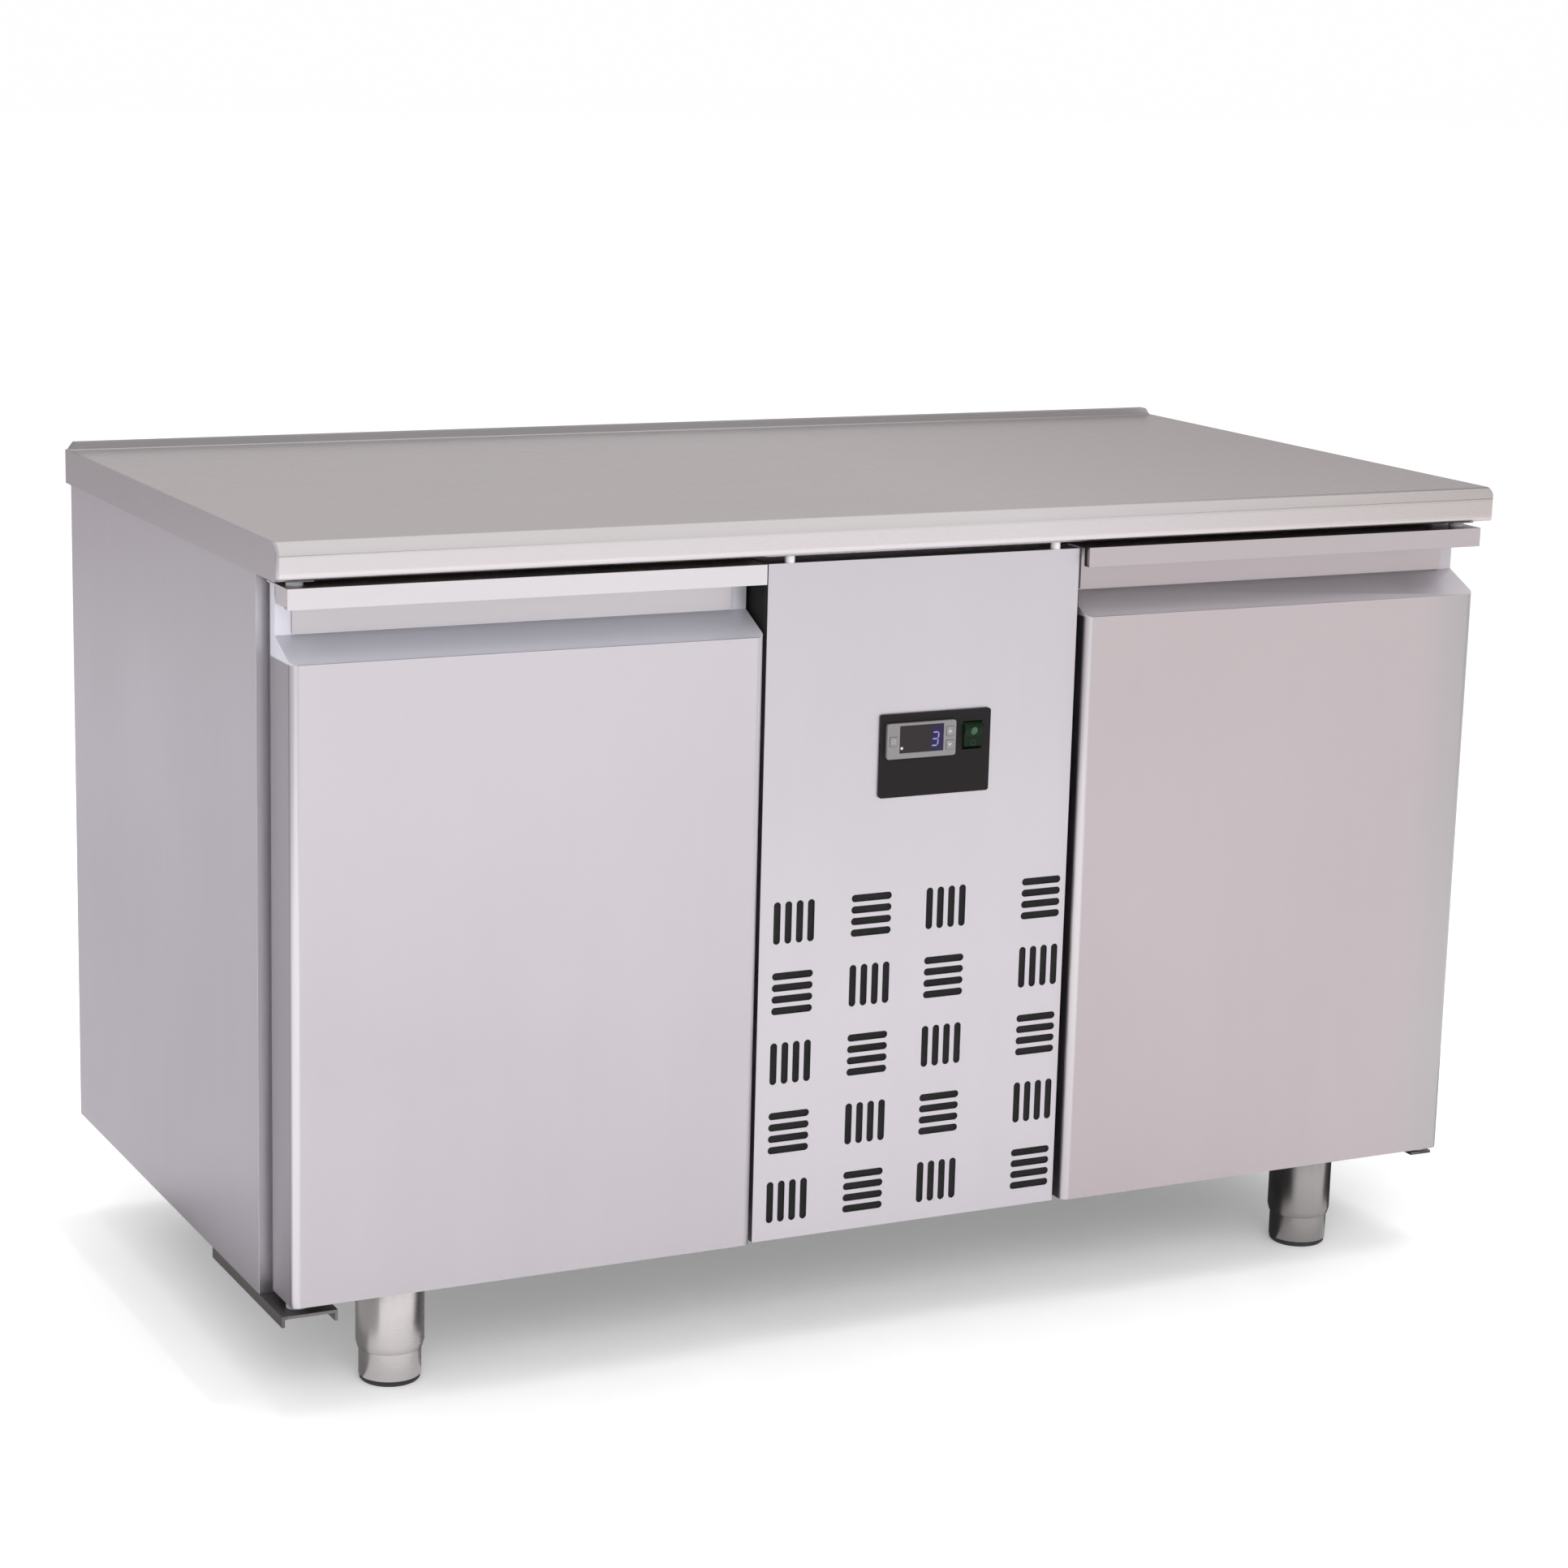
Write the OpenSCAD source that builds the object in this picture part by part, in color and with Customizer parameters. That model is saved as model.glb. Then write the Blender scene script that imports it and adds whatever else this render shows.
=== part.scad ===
// Two-door refrigerated counter with its condensing unit in the middle.
// Origin: centre of the footprint on the floor. +X is the counter's right, -Y its front, +Z up.
// Paired pieces are drawn for the left half (-X) and mirrored for the right half.

/* [Overall] */
// Width over the worktop
counter_w = 1360; // [1340:5:1400]
// Depth over the worktop
counter_d = 700; // [700:5:760]
// Height of the working surface above the floor
counter_h = 850; // [845:1:900]

/* [Worktop] */
// Thickness of the worktop
worktop_t = 36; // [30:1:40]
// Rounding of the worktop's upper front edge
edge_r = 14; // [8:1:16]
// Rounding of the worktop's lower front edge
lower_edge_r = 8; // [4:1:10]
// Thickness of the worktop sheet
worktop_sheet_t = 1.5; // [1:0.1:2]
// Height of the rear upstand
upstand_h = 8; // [4:1:15]
// Depth of the rear upstand
upstand_d = 12; // [8:1:20]

/* [Cabinet] */
// Height of the cabinet's underside
leg_h = 108; // [100:1:120]
// Thickness of the insulated outer walls
wall_t = 55; // [50:1:60]
// Thickness of the insulated ceiling
ceiling_t = 48; // [45:1:55]
// Inner width of the bay that holds the condensing unit
bay_w = 342; // [335:1:345]
// Thickness of the insulated walls beside the bay
mullion_t = 53; // [48:1:56]
// Thickness of the outer sheets
skin_t = 1.2; // [1:0.1:1.5]
// Thickness of the inner liners
liner_t = 0.8; // [0.6:0.1:1]

/* [Doors] */
// Thickness of a door without its gasket
door_t = 58; // [55:1:60]
// Depth of the gasket space behind a door
gasket_gap = 12; // [11:0.5:13]
// Depth of the grip recess
grip_depth = 45; // [38:1:46]
// Height of the grip lip
lip_h = 20; // [18:1:24]
// Rounding of the door's upright front edges
door_edge_r = 8; // [5:0.5:10]
// Gap between a door and the centre panel
door_gap = 6.5; // [6:0.5:10]

/* [Centre panel] */
// Width of the centre panel
panel_w = 351; // [345:1:352]
// Distance of the centre panel behind the door fronts
panel_setback = 10; // [9:1:16]
// Size of a block of vent slots, along X and Z
vent_block = [45.5, 43.5];
// Width of one vent slot
slot_w = 7.6; // [6:0.1:8]

/* [Feet] */
// Distance of the legs' axes from the counter's middle
leg_x = 538; // [520:1:545]
// Distance of the front legs' axes from the worktop's front edge
leg_inset = 82; // [78:1:95]
// Outer diameter of the leg sleeves
sleeve_d = 68; // [66:1:70]
// Diameter of the levelling feet
foot_d = 62; // [60:1:62]

/* [Hidden] */

$fn = 48;
eps = 0.5;                                   // how far a cut runs past a face
slack = 0.2;                                 // gap between foam and the sheets round it

// Planes of the counter
front_y = -counter_d / 2;
back_y = counter_d / 2;
top_z = counter_h - worktop_t;               // underside of the worktop
body_x = counter_w / 2 - 5;                  // outer face of a side panel
body_back = back_y - 5;
door_front = front_y + 4;
door_back = door_front + door_t;
body_front = door_back + gasket_gap;         // face of the front frame
frame_back = body_front + skin_t;
side_in = body_x - skin_t;
back_in = body_back - 1;
base_top = leg_h + skin_t;
return_w = 12;                               // folded front edge of a side panel

// Cold compartment, left half
comp_out = -(body_x - wall_t);               // wall next to the side panel
comp_in = -(bay_w / 2 + 1 + mullion_t);      // wall next to the bay
comp_z0 = leg_h + wall_t;
comp_z1 = top_z - ceiling_t;
comp_back = body_back - wall_t;
bay_x = bay_w / 2;

// Door, left half
door_x0 = -(body_x - 10);
door_x1 = -(panel_w / 2 + door_gap);
door_z0 = leg_h + 7;
grip_top = top_z - 6.5;
grip_t = 2;                                  // wall of the grip profile
door_z1 = grip_top - grip_t;
slant_rise = 21;
slant_top = grip_top - 50.5;
face_top = slant_top - slant_rise;
grip_back = door_front + grip_depth;
liner_plate = door_back + skin_t;
gasket_w = 16;
gasket_back = body_front - 0.4;

// Door hinge, left half
hinge_x = door_x0 + 12;
hinge_y = door_front + 24;
pin_r = 5;
bush_bore_r = pin_r + 0.06;

// Air ducts between the bay and the compartments
duct_y = 160;
duct_z = 650;
duct_r = 46;
return_z = 520;
return_size = [100, 26];

// Centre panel
panel_front = door_front + panel_setback;
panel_z0 = leg_h + 5;
panel_top = grip_top - 1.5;
panel_return = 15;
vent_z0 = panel_z0 + 40;                     // middle of the lowest row of blocks
vent_pitch = 72.8;
vent_rows = 5;
vent_columns = [-137.5, -50.5, 35, 146.5];
vent_slots = 4;

// Controls
bezel_t = 3;
bezel_front = panel_front - bezel_t;
bezel_size = [125, 85];
bezel_at = [15, 606];
controller_at = [-3, 621.5];
controller_size = [78, 36];
controller_t = 3.5;
controller_front = bezel_front - controller_t;
window_size = [50, 28];
window_at = controller_at + [0, 1.5];
key_size = [8, 9];
key_travel = 0.8;
key_x = 32;
rocker_at = [56.5, 622];
rocker_w = 21;
rocker_r = 13.8;
rocker_y = panel_front + 3;
switch_hole = [22, 29];

// Condensing unit and evaporator
coil_w = 260;
coil_z = [126, 404];
coil_y = [body_front + 22, body_front + 66];
fan_z = 265;
fan_r = 104;
ring_r = 112;
shroud_y = coil_y[1] + 2;
shroud_end = shroud_y + 40;
evap_y = [62, 298];
evap_z = [480, 740];
evap_wall = 12;
evap_fan_z = 610;
evap_fan_r = 72;
evap_fan_y = 138;
compressor_at = [-62, 130];
compressor_r = 78;

// Shelves
shelf_z = leg_h + 340;
wire_r = 1.6;
rail_r = 3;
wire_pitch = 20;

// ---------------------------------------------------------------- helpers

// A box from its lowest corner to its highest corner
module block(low, high) {
    translate(low) cube(high - low);
}

// Draws the left half's piece, or its mirror image for the right half
module on_side(side) {
    if (side < 0) children();
    else mirror([1, 0, 0]) children();
}

// A flat outline in Y and Z, drawn out along X
module along_x(x0, x1) {
    translate([x0, 0, 0]) rotate([90, 0, 90]) linear_extrude(x1 - x0) children();
}

// A flat outline in X and Z, drawn out along Y
module along_y(y0, y1) {
    translate([0, y1, 0]) rotate([90, 0, 0]) linear_extrude(y1 - y0) children();
}

// A centred rectangle with round corners
module round_rect(size, r) {
    square([size[0] - 2 * r, size[1]], center = true);
    square([size[0], size[1] - 2 * r], center = true);
    for (sx = [-1, 1], sy = [-1, 1])
        translate([sx * (size[0] / 2 - r), sy * (size[1] / 2 - r)]) circle(r);
}

// A straight round rod between two points
module rod(p, q, r) {
    v = q - p;
    translate(p) rotate([0, acos(v[2] / norm(v)), atan2(v[1], v[0])]) cylinder(h = norm(v), r = r);
}

// A tube through a list of points, with brazed ball corners
module pipe(points, r) {
    for (i = [1 : len(points) - 1]) rod(points[i - 1], points[i], r);
    for (i = [1 : len(points) - 2]) translate(points[i]) sphere(r + 0.8);
}

// A rectangular frame in X and Z, of the given border
module ring_y(low, high, border) {
    difference() {
        block(low, high);
        block([low[0] + border, low[1] - eps, low[2] + border],
              [high[0] - border, high[1] + eps, high[2] - border]);
    }
}

// ---------------------------------------------------------------- worktop

// Side view of the worktop, with its round nose
module worktop_outline(inset) {
    low = [front_y + inset, top_z + inset];
    high = [back_y - inset, counter_h - inset];
    r = edge_r - inset;
    lower_r = lower_edge_r - inset;
    difference() {
        translate(low) square(high - low);
        translate([low[0] - eps, high[1] - r]) square(r + eps);
        translate(low - [eps, eps]) square(lower_r + eps);
    }
    translate([low[0] + r, high[1] - r]) circle(r);
    translate(low + [lower_r, lower_r]) circle(lower_r);
}

// Folded sheet, with the upstand along its rear edge
module worktop_sheet() {
    color("gainsboro") rear_upstand();
    color("gainsboro") difference() {
        intersection() {
            along_x(-counter_w / 2, counter_w / 2) worktop_outline(0);
            translate([0, 0, top_z]) linear_extrude(worktop_t) round_rect([counter_w, counter_d], 3);
        }
        along_x(-counter_w / 2 + 3, counter_w / 2 - 3) worktop_outline(worktop_sheet_t);
        block([-counter_w / 2 + 3, front_y + edge_r, top_z - eps],
              [counter_w / 2 - 3, back_y - worktop_sheet_t, top_z + edge_r]);
    }
}

module worktop_core() {
    color("dimgray") block(
        [-counter_w / 2 + 3.5, front_y + edge_r, top_z],
        [counter_w / 2 - 3.5, back_y - 2, counter_h - worktop_sheet_t - 0.6]);
}

// The upstand's ends are cut down to the working surface
module rear_upstand() {
    end = 9;
    half = counter_w / 2;
    along_y(back_y - upstand_d, back_y) polygon([
        [-half + 3, counter_h - 1], [-half + 3, counter_h], [-half + end, counter_h + upstand_h],
        [half - end, counter_h + upstand_h], [half - 3, counter_h], [half - 3, counter_h - 1]]);
}

// ---------------------------------------------------------------- casing

module side_panel(side) {
    color("lightgray") on_side(side) {
        block([-body_x, body_front, leg_h], [-side_in, body_back, top_z]);
        block([-body_x, body_front, leg_h], [-body_x + return_w, frame_back, top_z]);
    }
}

module left_side_panel() { side_panel(-1); }
module right_side_panel() { side_panel(1); }

// The slots let the unit's warm air out behind the bay
module back_panel() {
    slots = 12;
    color("silver") difference() {
        block([-side_in, back_in, base_top], [side_in, body_back, top_z]);
        along_y(back_in - eps, body_back + eps) for (i = [0 : slots - 1])
            translate([0, 170 + 24 * i]) round_rect([240, 10], 4.9);
        translate([120, back_in - eps, 140]) rotate([-90, 0, 0]) cylinder(h = 3, r = 9.2);
    }
}

module base_panel() {
    color("silver") block([-side_in, frame_back, leg_h], [side_in, body_back, base_top]);
}

// The face behind the doors, with the folds that line the bay
module front_frame() {
    edge = body_x - return_w;
    color("lightgray") difference() {
        union() {
            block([-edge, body_front, leg_h], [edge, frame_back, top_z]);
            for (side = [-1, 1]) on_side(side)
                block([-bay_x - 1, body_front, base_top], [-bay_x, back_in, comp_z1]);
            block([-bay_x - 1, body_front, comp_z1], [bay_x + 1, back_in, comp_z1 + 1]);
        }
        block([-bay_x, body_front - eps, base_top], [bay_x, frame_back + eps, comp_z1]);
        for (side = [-1, 1]) on_side(side) {
            block([comp_out, body_front - eps, comp_z0], [comp_in, frame_back + eps, comp_z1]);
            ducts(-bay_x - 1 - eps, -bay_x + eps);
        }
    }
}

// Black strip that closes the shadow gap under the worktop
module gap_strip() {
    color("black") block([-body_x + 38, body_front - 24, grip_top + 1.5],
                         [body_x - 38, body_front - 0.2, top_z]);
}

// Supply and return air ways through the wall beside the bay, left half
module ducts(x0, x1) {
    translate([x0, duct_y, duct_z]) rotate([0, 90, 0]) cylinder(h = x1 - x0, r = duct_r);
    along_x(x0, x1) translate([duct_y, return_z]) round_rect(return_size, 12);
}

// Grille slots in the liner, in front of the ducts
module duct_grille(x0, x1) {
    pitch = 14;
    along_x(x0, x1) {
        for (i = [-2 : 2]) translate([duct_y, duct_z + pitch * i]) round_rect([60, 7], 3.4);
        for (i = [0, 1]) translate([duct_y, return_z - 7 + 14 * i]) round_rect([90, 7], 3.4);
    }
}

module liner(side) {
    color("whitesmoke") on_side(side) difference() {
        block([comp_out - liner_t, frame_back, comp_z0 - liner_t],
              [comp_in + liner_t, comp_back + liner_t, comp_z1 + liner_t]);
        block([comp_out, frame_back - eps, comp_z0], [comp_in, comp_back, comp_z1]);
        duct_grille(comp_in - eps, comp_in + liner_t + eps);
    }
}

module left_liner() { liner(-1); }
module right_liner() { liner(1); }

// Five foamed slabs round a compartment
module insulation(side) {
    gap = liner_t + slack;
    low = base_top + slack;
    high = top_z - slack;
    front = frame_back + slack;
    rear = back_in - slack;
    wall_in = -bay_x - 1 - slack;
    color("khaki") on_side(side) {
        block([-side_in + slack, front, low], [comp_out - gap, rear, high]);
        difference() {
            block([comp_in + gap, front, low], [wall_in, rear, high]);
            ducts(comp_in, -bay_x);
        }
        inner_x = [comp_out - gap + slack, comp_in + gap - slack];
        block([inner_x[0], comp_back + gap, low], [inner_x[1], rear, high]);
        block([inner_x[0], front, low], [inner_x[1], comp_back + gap - slack, comp_z0 - gap]);
        block([inner_x[0], front, comp_z1 + gap], [inner_x[1], comp_back + gap - slack, high]);
    }
}

module left_insulation() { insulation(-1); }
module right_insulation() { insulation(1); }

// ---------------------------------------------------------------- shelves

runner_w = 14;
runner_h = 15;
runner_y = [-250, 270];

// Angle rails on both walls of both compartments
module shelf_runners() {
    wall = 0.15;
    color("silver") for (side = [-1, 1]) on_side(side) {
        for (flip = [0, 1]) {
            x0 = flip ? comp_in - wall : comp_out + wall;
            way = flip ? -1 : 1;
            along_y(runner_y[0], runner_y[1]) polygon([
                [x0, shelf_z], [x0 + way * runner_w, shelf_z],
                [x0 + way * runner_w, shelf_z - 1.5], [x0 + way * 1.5, shelf_z - 1.5],
                [x0 + way * 1.5, shelf_z - runner_h], [x0, shelf_z - runner_h]]);
        }
    }
}

// Wire shelf: two side rods on the runners, front and back rods, and wires from front to back
module shelf(side) {
    x0 = comp_out + 9;
    x1 = comp_in - 9;
    z = shelf_z + rail_r + 0.2;
    y0 = runner_y[0] + 6;
    y1 = runner_y[1] - 6;
    wires = floor((x1 - x0) / wire_pitch) - 1;
    first = (x0 + x1) / 2 - (wires - 1) / 2 * wire_pitch;
    color("silver") on_side(side) {
        for (x = [x0, x1]) rod([x, y0, z], [x, y1, z], rail_r);
        for (y = [y0 + rail_r, (y0 + y1) / 2, y1 - rail_r]) rod([x0, y, z], [x1, y, z], rail_r - 0.4);
        for (i = [0 : wires - 1])
            rod([first + i * wire_pitch, y0, z + 3], [first + i * wire_pitch, y1, z + 3], wire_r);
    }
}

module left_shelf() { shelf(-1); }
module right_shelf() { shelf(1); }

// ---------------------------------------------------------------- hinges and legs

// Lower bracket: a plate that runs from under the side panel to under the door; the left one
// reaches the door's front and has folded edges, the right one is short and flat
module lower_bracket(side) {
    plate_t = 3;
    z0 = leg_h - plate_t;
    long = side < 0;
    outer = long ? -body_x : -body_x + 10;
    inner = long ? -body_x + 56 : hinge_x + 14;
    front = long ? door_front + 2 : hinge_y - 12;
    flange = 11;
    block([outer, front, z0], [inner, door_front + 54, leg_h]);
    block([outer, door_front + 42, z0], [-body_x + 34, -130, leg_h]);
    if (long) {
        block([outer, front, leg_h - flange], [outer + plate_t, -130, leg_h]);
        block([inner - plate_t, front, leg_h - flange], [inner, front + 30, leg_h]);
    }
    translate([hinge_x, hinge_y, leg_h - 1]) cylinder(h = 19, r = pin_r);
}

// Upper hinge plate on the front frame, with its pin pointing down into the door
module upper_plate() {
    plate_t = 2.3;
    block([hinge_x - 12, hinge_y - 14, top_z - plate_t], [hinge_x + 14, body_front, top_z]);
    translate([hinge_x, hinge_y, top_z - 21]) cylinder(h = 20, r = pin_r);
}

module hinge_brackets() {
    color("gray") for (side = [-1, 1]) on_side(side) {
        lower_bracket(side);
        upper_plate();
    }
}

foot_y = [front_y + leg_inset, back_y - 100];
sleeve_z0 = 34;
stem_r = 8;

// Leg sleeve: a tube that hides the thread, with a solid top that carries the stem
module leg_sleeves() {
    r = sleeve_d / 2;
    bore = foot_d / 2 + 0.3;
    color("silver") for (sx = [-1, 1], y = foot_y) translate([sx * leg_x, y, 0]) rotate_extrude()
        polygon([
            [bore, sleeve_z0], [bore + 0.9, sleeve_z0], [r, sleeve_z0 + 7], [r, leg_h],
            [stem_r + 0.05, leg_h], [stem_r + 0.05, 72], [bore, 72]]);
}

// Levelling foot: a cup that turns in the sleeve on a threaded stem
module foot(sx, y) {
    r = foot_d / 2;
    color("silver") translate([sx * leg_x, y, 0]) {
        translate([0, 0, 6]) cylinder(h = 50, r = r);
        translate([0, 0, 55]) cylinder(h = 45, r = stem_r);
    }
}

module foot_front_left() { foot(-1, foot_y[0]); }
module foot_front_right() { foot(1, foot_y[0]); }
module foot_rear_left() { foot(-1, foot_y[1]); }
module foot_rear_right() { foot(1, foot_y[1]); }

module pad(sx, y) {
    r = foot_d / 2;
    color("black") translate([sx * leg_x, y, 0]) rotate_extrude()
        polygon([[0, 0], [r - 3, 0], [r - 1, 2], [r - 1, 6], [0, 6]]);
}

module pad_front_left() { pad(-1, foot_y[0]); }
module pad_front_right() { pad(1, foot_y[0]); }
module pad_rear_left() { pad(-1, foot_y[1]); }
module pad_rear_right() { pad(1, foot_y[1]); }

// ---------------------------------------------------------------- centre panel and controls

// One block of parallel slots, upright or level
module vent(upright) {
    long = upright ? vent_block[1] : vent_block[0];
    wide = upright ? vent_block[0] : vent_block[1];
    pitch = (wide - slot_w) / (vent_slots - 1);
    rotate(upright ? 90 : 0) for (i = [0 : vent_slots - 1])
        translate([0, -(wide - slot_w) / 2 + pitch * i]) {
            square([long - slot_w, slot_w], center = true);
            for (s = [-1, 1]) translate([s * (long - slot_w) / 2, 0]) circle(slot_w / 2, $fn = 24);
        }
}

// Slotted front panel of the bay, a tray-shaped sheet that stands off the frame
module unit_panel() {
    half = panel_w / 2;
    sheet = 1.2;
    color("lightgray") {
        along_y(panel_front, panel_front + sheet) difference() {
            translate([-half, panel_z0]) square([panel_w, panel_top - panel_z0]);
            for (row = [0 : vent_rows - 1], col = [0 : len(vent_columns) - 1])
                translate([vent_columns[col], vent_z0 + row * vent_pitch])
                    vent((row + col) % 2 == 0);
            translate(controller_at) square([72, 30], center = true);
            translate(rocker_at) square(switch_hole + [3, 3], center = true);
        }
        for (side = [-1, 1]) on_side(side)
            block([-half, panel_front + 0.5, panel_z0], [-half + sheet, body_front, panel_top]);
        block([-half, panel_front + 0.5, panel_top - sheet],
              [half, panel_front + panel_return, panel_top]);
        block([-half, panel_front + 0.5, panel_z0],
              [half, panel_front + panel_return, panel_z0 + sheet]);
    }
}

// Black filter mat that lies behind all the vent slots
module dust_filter() {
    color("black") block([-bay_x + 2, panel_front + 1.4, panel_z0 + 6],
                         [bay_x - 2, panel_front + 9, vent_z0 + vent_rows * vent_pitch]);
}

// Spacers that hold the panel's top edge under the worktop
module panel_spacers() {
    color("white") for (x = [-150, 150]) translate([x, panel_front + 5.5, panel_top])
        cylinder(h = top_z - panel_top, r = 5);
}

module control_bezel() {
    color("black") along_y(bezel_front, panel_front) difference() {
        translate(bezel_at) round_rect(bezel_size, 3);
        translate(controller_at) square([72, 30], center = true);
        translate(rocker_at) square(switch_hole, center = true);
    }
}

// Places a key's pocket: one on the left end, two on the right end of the controller
key_places = [[-key_x, 0], [key_x, 7], [key_x, -7]];

// Controller: a thin front with a sunk window and key pockets, and a body behind the panel
module controller_body() {
    pocket = [key_size[0] + 0.6, key_size[1] + 0.6];
    color("gray") difference() {
        union() {
            along_y(controller_front, bezel_front)
                translate(controller_at) round_rect(controller_size, 2.5);
            along_y(bezel_front - 0.5, bezel_front + 62)
                translate(controller_at) square([71, 29], center = true);
        }
        along_y(controller_front - eps, controller_front + 1)
            translate(window_at) square(window_size, center = true);
        along_y(controller_front - eps, controller_front + 2.4)
            for (k = key_places) translate(controller_at + k) square(pocket, center = true);
    }
}

module display_window() {
    color("midnightblue") along_y(controller_front + 0.2, controller_front + 1)
        translate(window_at) square([window_size[0] - 0.2, window_size[1] - 0.2], center = true);
}

// A key stands 0.6 proud of the controller's face, with room behind it for its travel
module key(place) {
    color("darkgray") along_y(controller_front - 0.6, controller_front + 1.4)
        translate(controller_at + place) round_rect(key_size, 1);
}

module key_set() { key(key_places[0]); }
module key_up() { key(key_places[1]); }
module key_down() { key(key_places[2]); }

// Box behind the bezel that holds the rocker's pivot pins
module switch_housing() {
    depth = 34;
    wall = 1;
    outer = switch_hole + [2 * wall, 2 * wall];
    color("black") difference() {
        along_y(panel_front, panel_front + depth) translate(rocker_at) square(outer, center = true);
        along_y(panel_front - eps, panel_front + depth - wall)
            translate(rocker_at) square(switch_hole, center = true);
        translate([rocker_at[0] - outer[0], rocker_y, rocker_at[1]]) rotate([0, 90, 0])
            cylinder(h = 2 * outer[0], r = 1.56);
    }
}

// Rocker: a round back and a front in two flats, tipped to its on position
module power_switch() {
    tip = 8;
    color("darkgreen") translate([rocker_at[0], rocker_y, rocker_at[1]]) {
        rotate([tip, 0, 0]) along_x(-rocker_w / 2, rocker_w / 2) intersection() {
            circle(rocker_r);
            polygon([[-11.5, 14], [-8.5, 0], [-11.5, -14], [14, -14], [14, 14]]);
        }
        rod([-switch_hole[0] / 2 - 0.9, 0, 0], [switch_hole[0] / 2 + 0.9, 0, 0], 1.5);
    }
}

// ---------------------------------------------------------------- refrigeration

module unit_tray() {
    low = [-160, body_front + 12, base_top + slack];
    high = [160, 262, base_top + 22];
    wall = 1.5;
    color("silver") difference() {
        block(low, high);
        block([low[0] + wall, low[1] + wall, low[2] + wall],
              [high[0] - wall, high[1] - wall, high[2] + eps]);
    }
}

tray_top = base_top + slack + 1.5;

// Fins on level tubes between two end plates
module finned_block(low, high, fins, tubes) {
    pitch = (high[0] - low[0]) / (fins + 1);
    mid_y = (low[1] + high[1]) / 2;
    for (x = [low[0], high[0] - 2]) block([x, low[1], low[2]], [x + 2, high[1], high[2]]);
    for (i = [1 : fins]) block([low[0] + i * pitch, low[1] + 2, low[2] + 2],
                               [low[0] + i * pitch + 1, high[1] - 2, high[2] - 2]);
    for (i = [1 : tubes]) {
        z = low[2] + i * (high[2] - low[2]) / (tubes + 1);
        rod([low[0] - 6, mid_y, z], [high[0] + 6, mid_y, z], 4.5);
    }
}

module condenser_coil() {
    color("dimgray") finned_block([-coil_w / 2, coil_y[0], coil_z[0]],
                                  [coil_w / 2, coil_y[1], coil_z[1]], 22, 8);
    color("dimgray") for (x = [-coil_w / 2 + 4, coil_w / 2 - 20])
        block([x, coil_y[0] + 6, tray_top], [x + 16, coil_y[1] - 6, coil_z[0] + 4]);
}

// Plate with a round air way, and the bars that carry the fan motor
module fan_shroud() {
    color("dimgray") {
        difference() {
            union() {
                block([-coil_w / 2, shroud_y, tray_top], [coil_w / 2, shroud_y + 2, coil_z[1]]);
                translate([0, shroud_y + 1, fan_z]) rotate([-90, 0, 0])
                    cylinder(h = shroud_end - shroud_y - 1, r = ring_r + 2);
            }
            translate([0, shroud_y - eps, fan_z]) rotate([-90, 0, 0])
                cylinder(h = shroud_end - shroud_y + 2 * eps, r = ring_r);
        }
        for (s = [-1, 1])
            block([-ring_r - 1, shroud_end - 6, fan_z + s * 24 - 4],
                  [ring_r + 1, shroud_end, fan_z + s * 24 + 4]);
    }
}

// Motors of the condenser fan and of the evaporator fan, with their shafts
module fan_motors() {
    color("black") {
        translate([0, shroud_end, fan_z]) rotate([-90, 0, 0]) cylinder(h = 62, r = 40);
        rod([0, shroud_y + 8, fan_z], [0, shroud_end + 1, fan_z], 4);
        translate([0, evap_fan_y + 26, evap_fan_z]) rotate([-90, 0, 0]) cylinder(h = 36, r = 24);
        rod([0, evap_fan_y - 4, evap_fan_z], [0, evap_fan_y + 27, evap_fan_z], 3);
    }
}

// Axial fan: a bored hub with tilted blades, along +Y from its front face
module fan(blades, r, hub_r, bore_r, depth) {
    difference() {
        union() {
            rotate([-90, 0, 0]) cylinder(h = depth, r = hub_r);
            intersection() {
                rotate([-90, 0, 0]) cylinder(h = depth, r = r);
                for (i = [0 : blades - 1]) rotate([0, i * 360 / blades, 0])
                    translate([0, depth / 2, 0]) rotate([0, 0, 32])
                        block([-r * 0.28, -1, hub_r - 3], [r * 0.28, 1, r + 2]);
            }
        }
        translate([0, -eps, 0]) rotate([-90, 0, 0]) cylinder(h = depth + 2 * eps, r = bore_r);
    }
}

module condenser_fan() {
    color("slategray") translate([0, shroud_y + 6, fan_z]) fan(5, fan_r, 32, 4.06, 26);
}

module evaporator_fan() {
    color("slategray") translate([0, evap_fan_y, evap_fan_z]) fan(5, evap_fan_r, 22, 3.06, 22);
}

// Hermetic compressor: a domed can on four rubber feet
module compressor() {
    z0 = tray_top + 12;
    h = 176;
    r = compressor_r;
    color("black") translate([compressor_at[0], compressor_at[1], z0]) {
        rotate_extrude() {
            translate([0, 24]) square([r, h - 48]);
            square([r - 24, h]);
            intersection() {
                union() for (z = [24, h - 24]) translate([r - 24, z]) circle(24);
                square([r, h]);
            }
        }
        for (sx = [-1, 1], sy = [-1, 1]) translate([sx * 62, sy * 52, -12]) cylinder(h = 40, r = 9);
        translate([r - 8, -22, 60]) cube([34, 44, 62]);
    }
}

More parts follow.
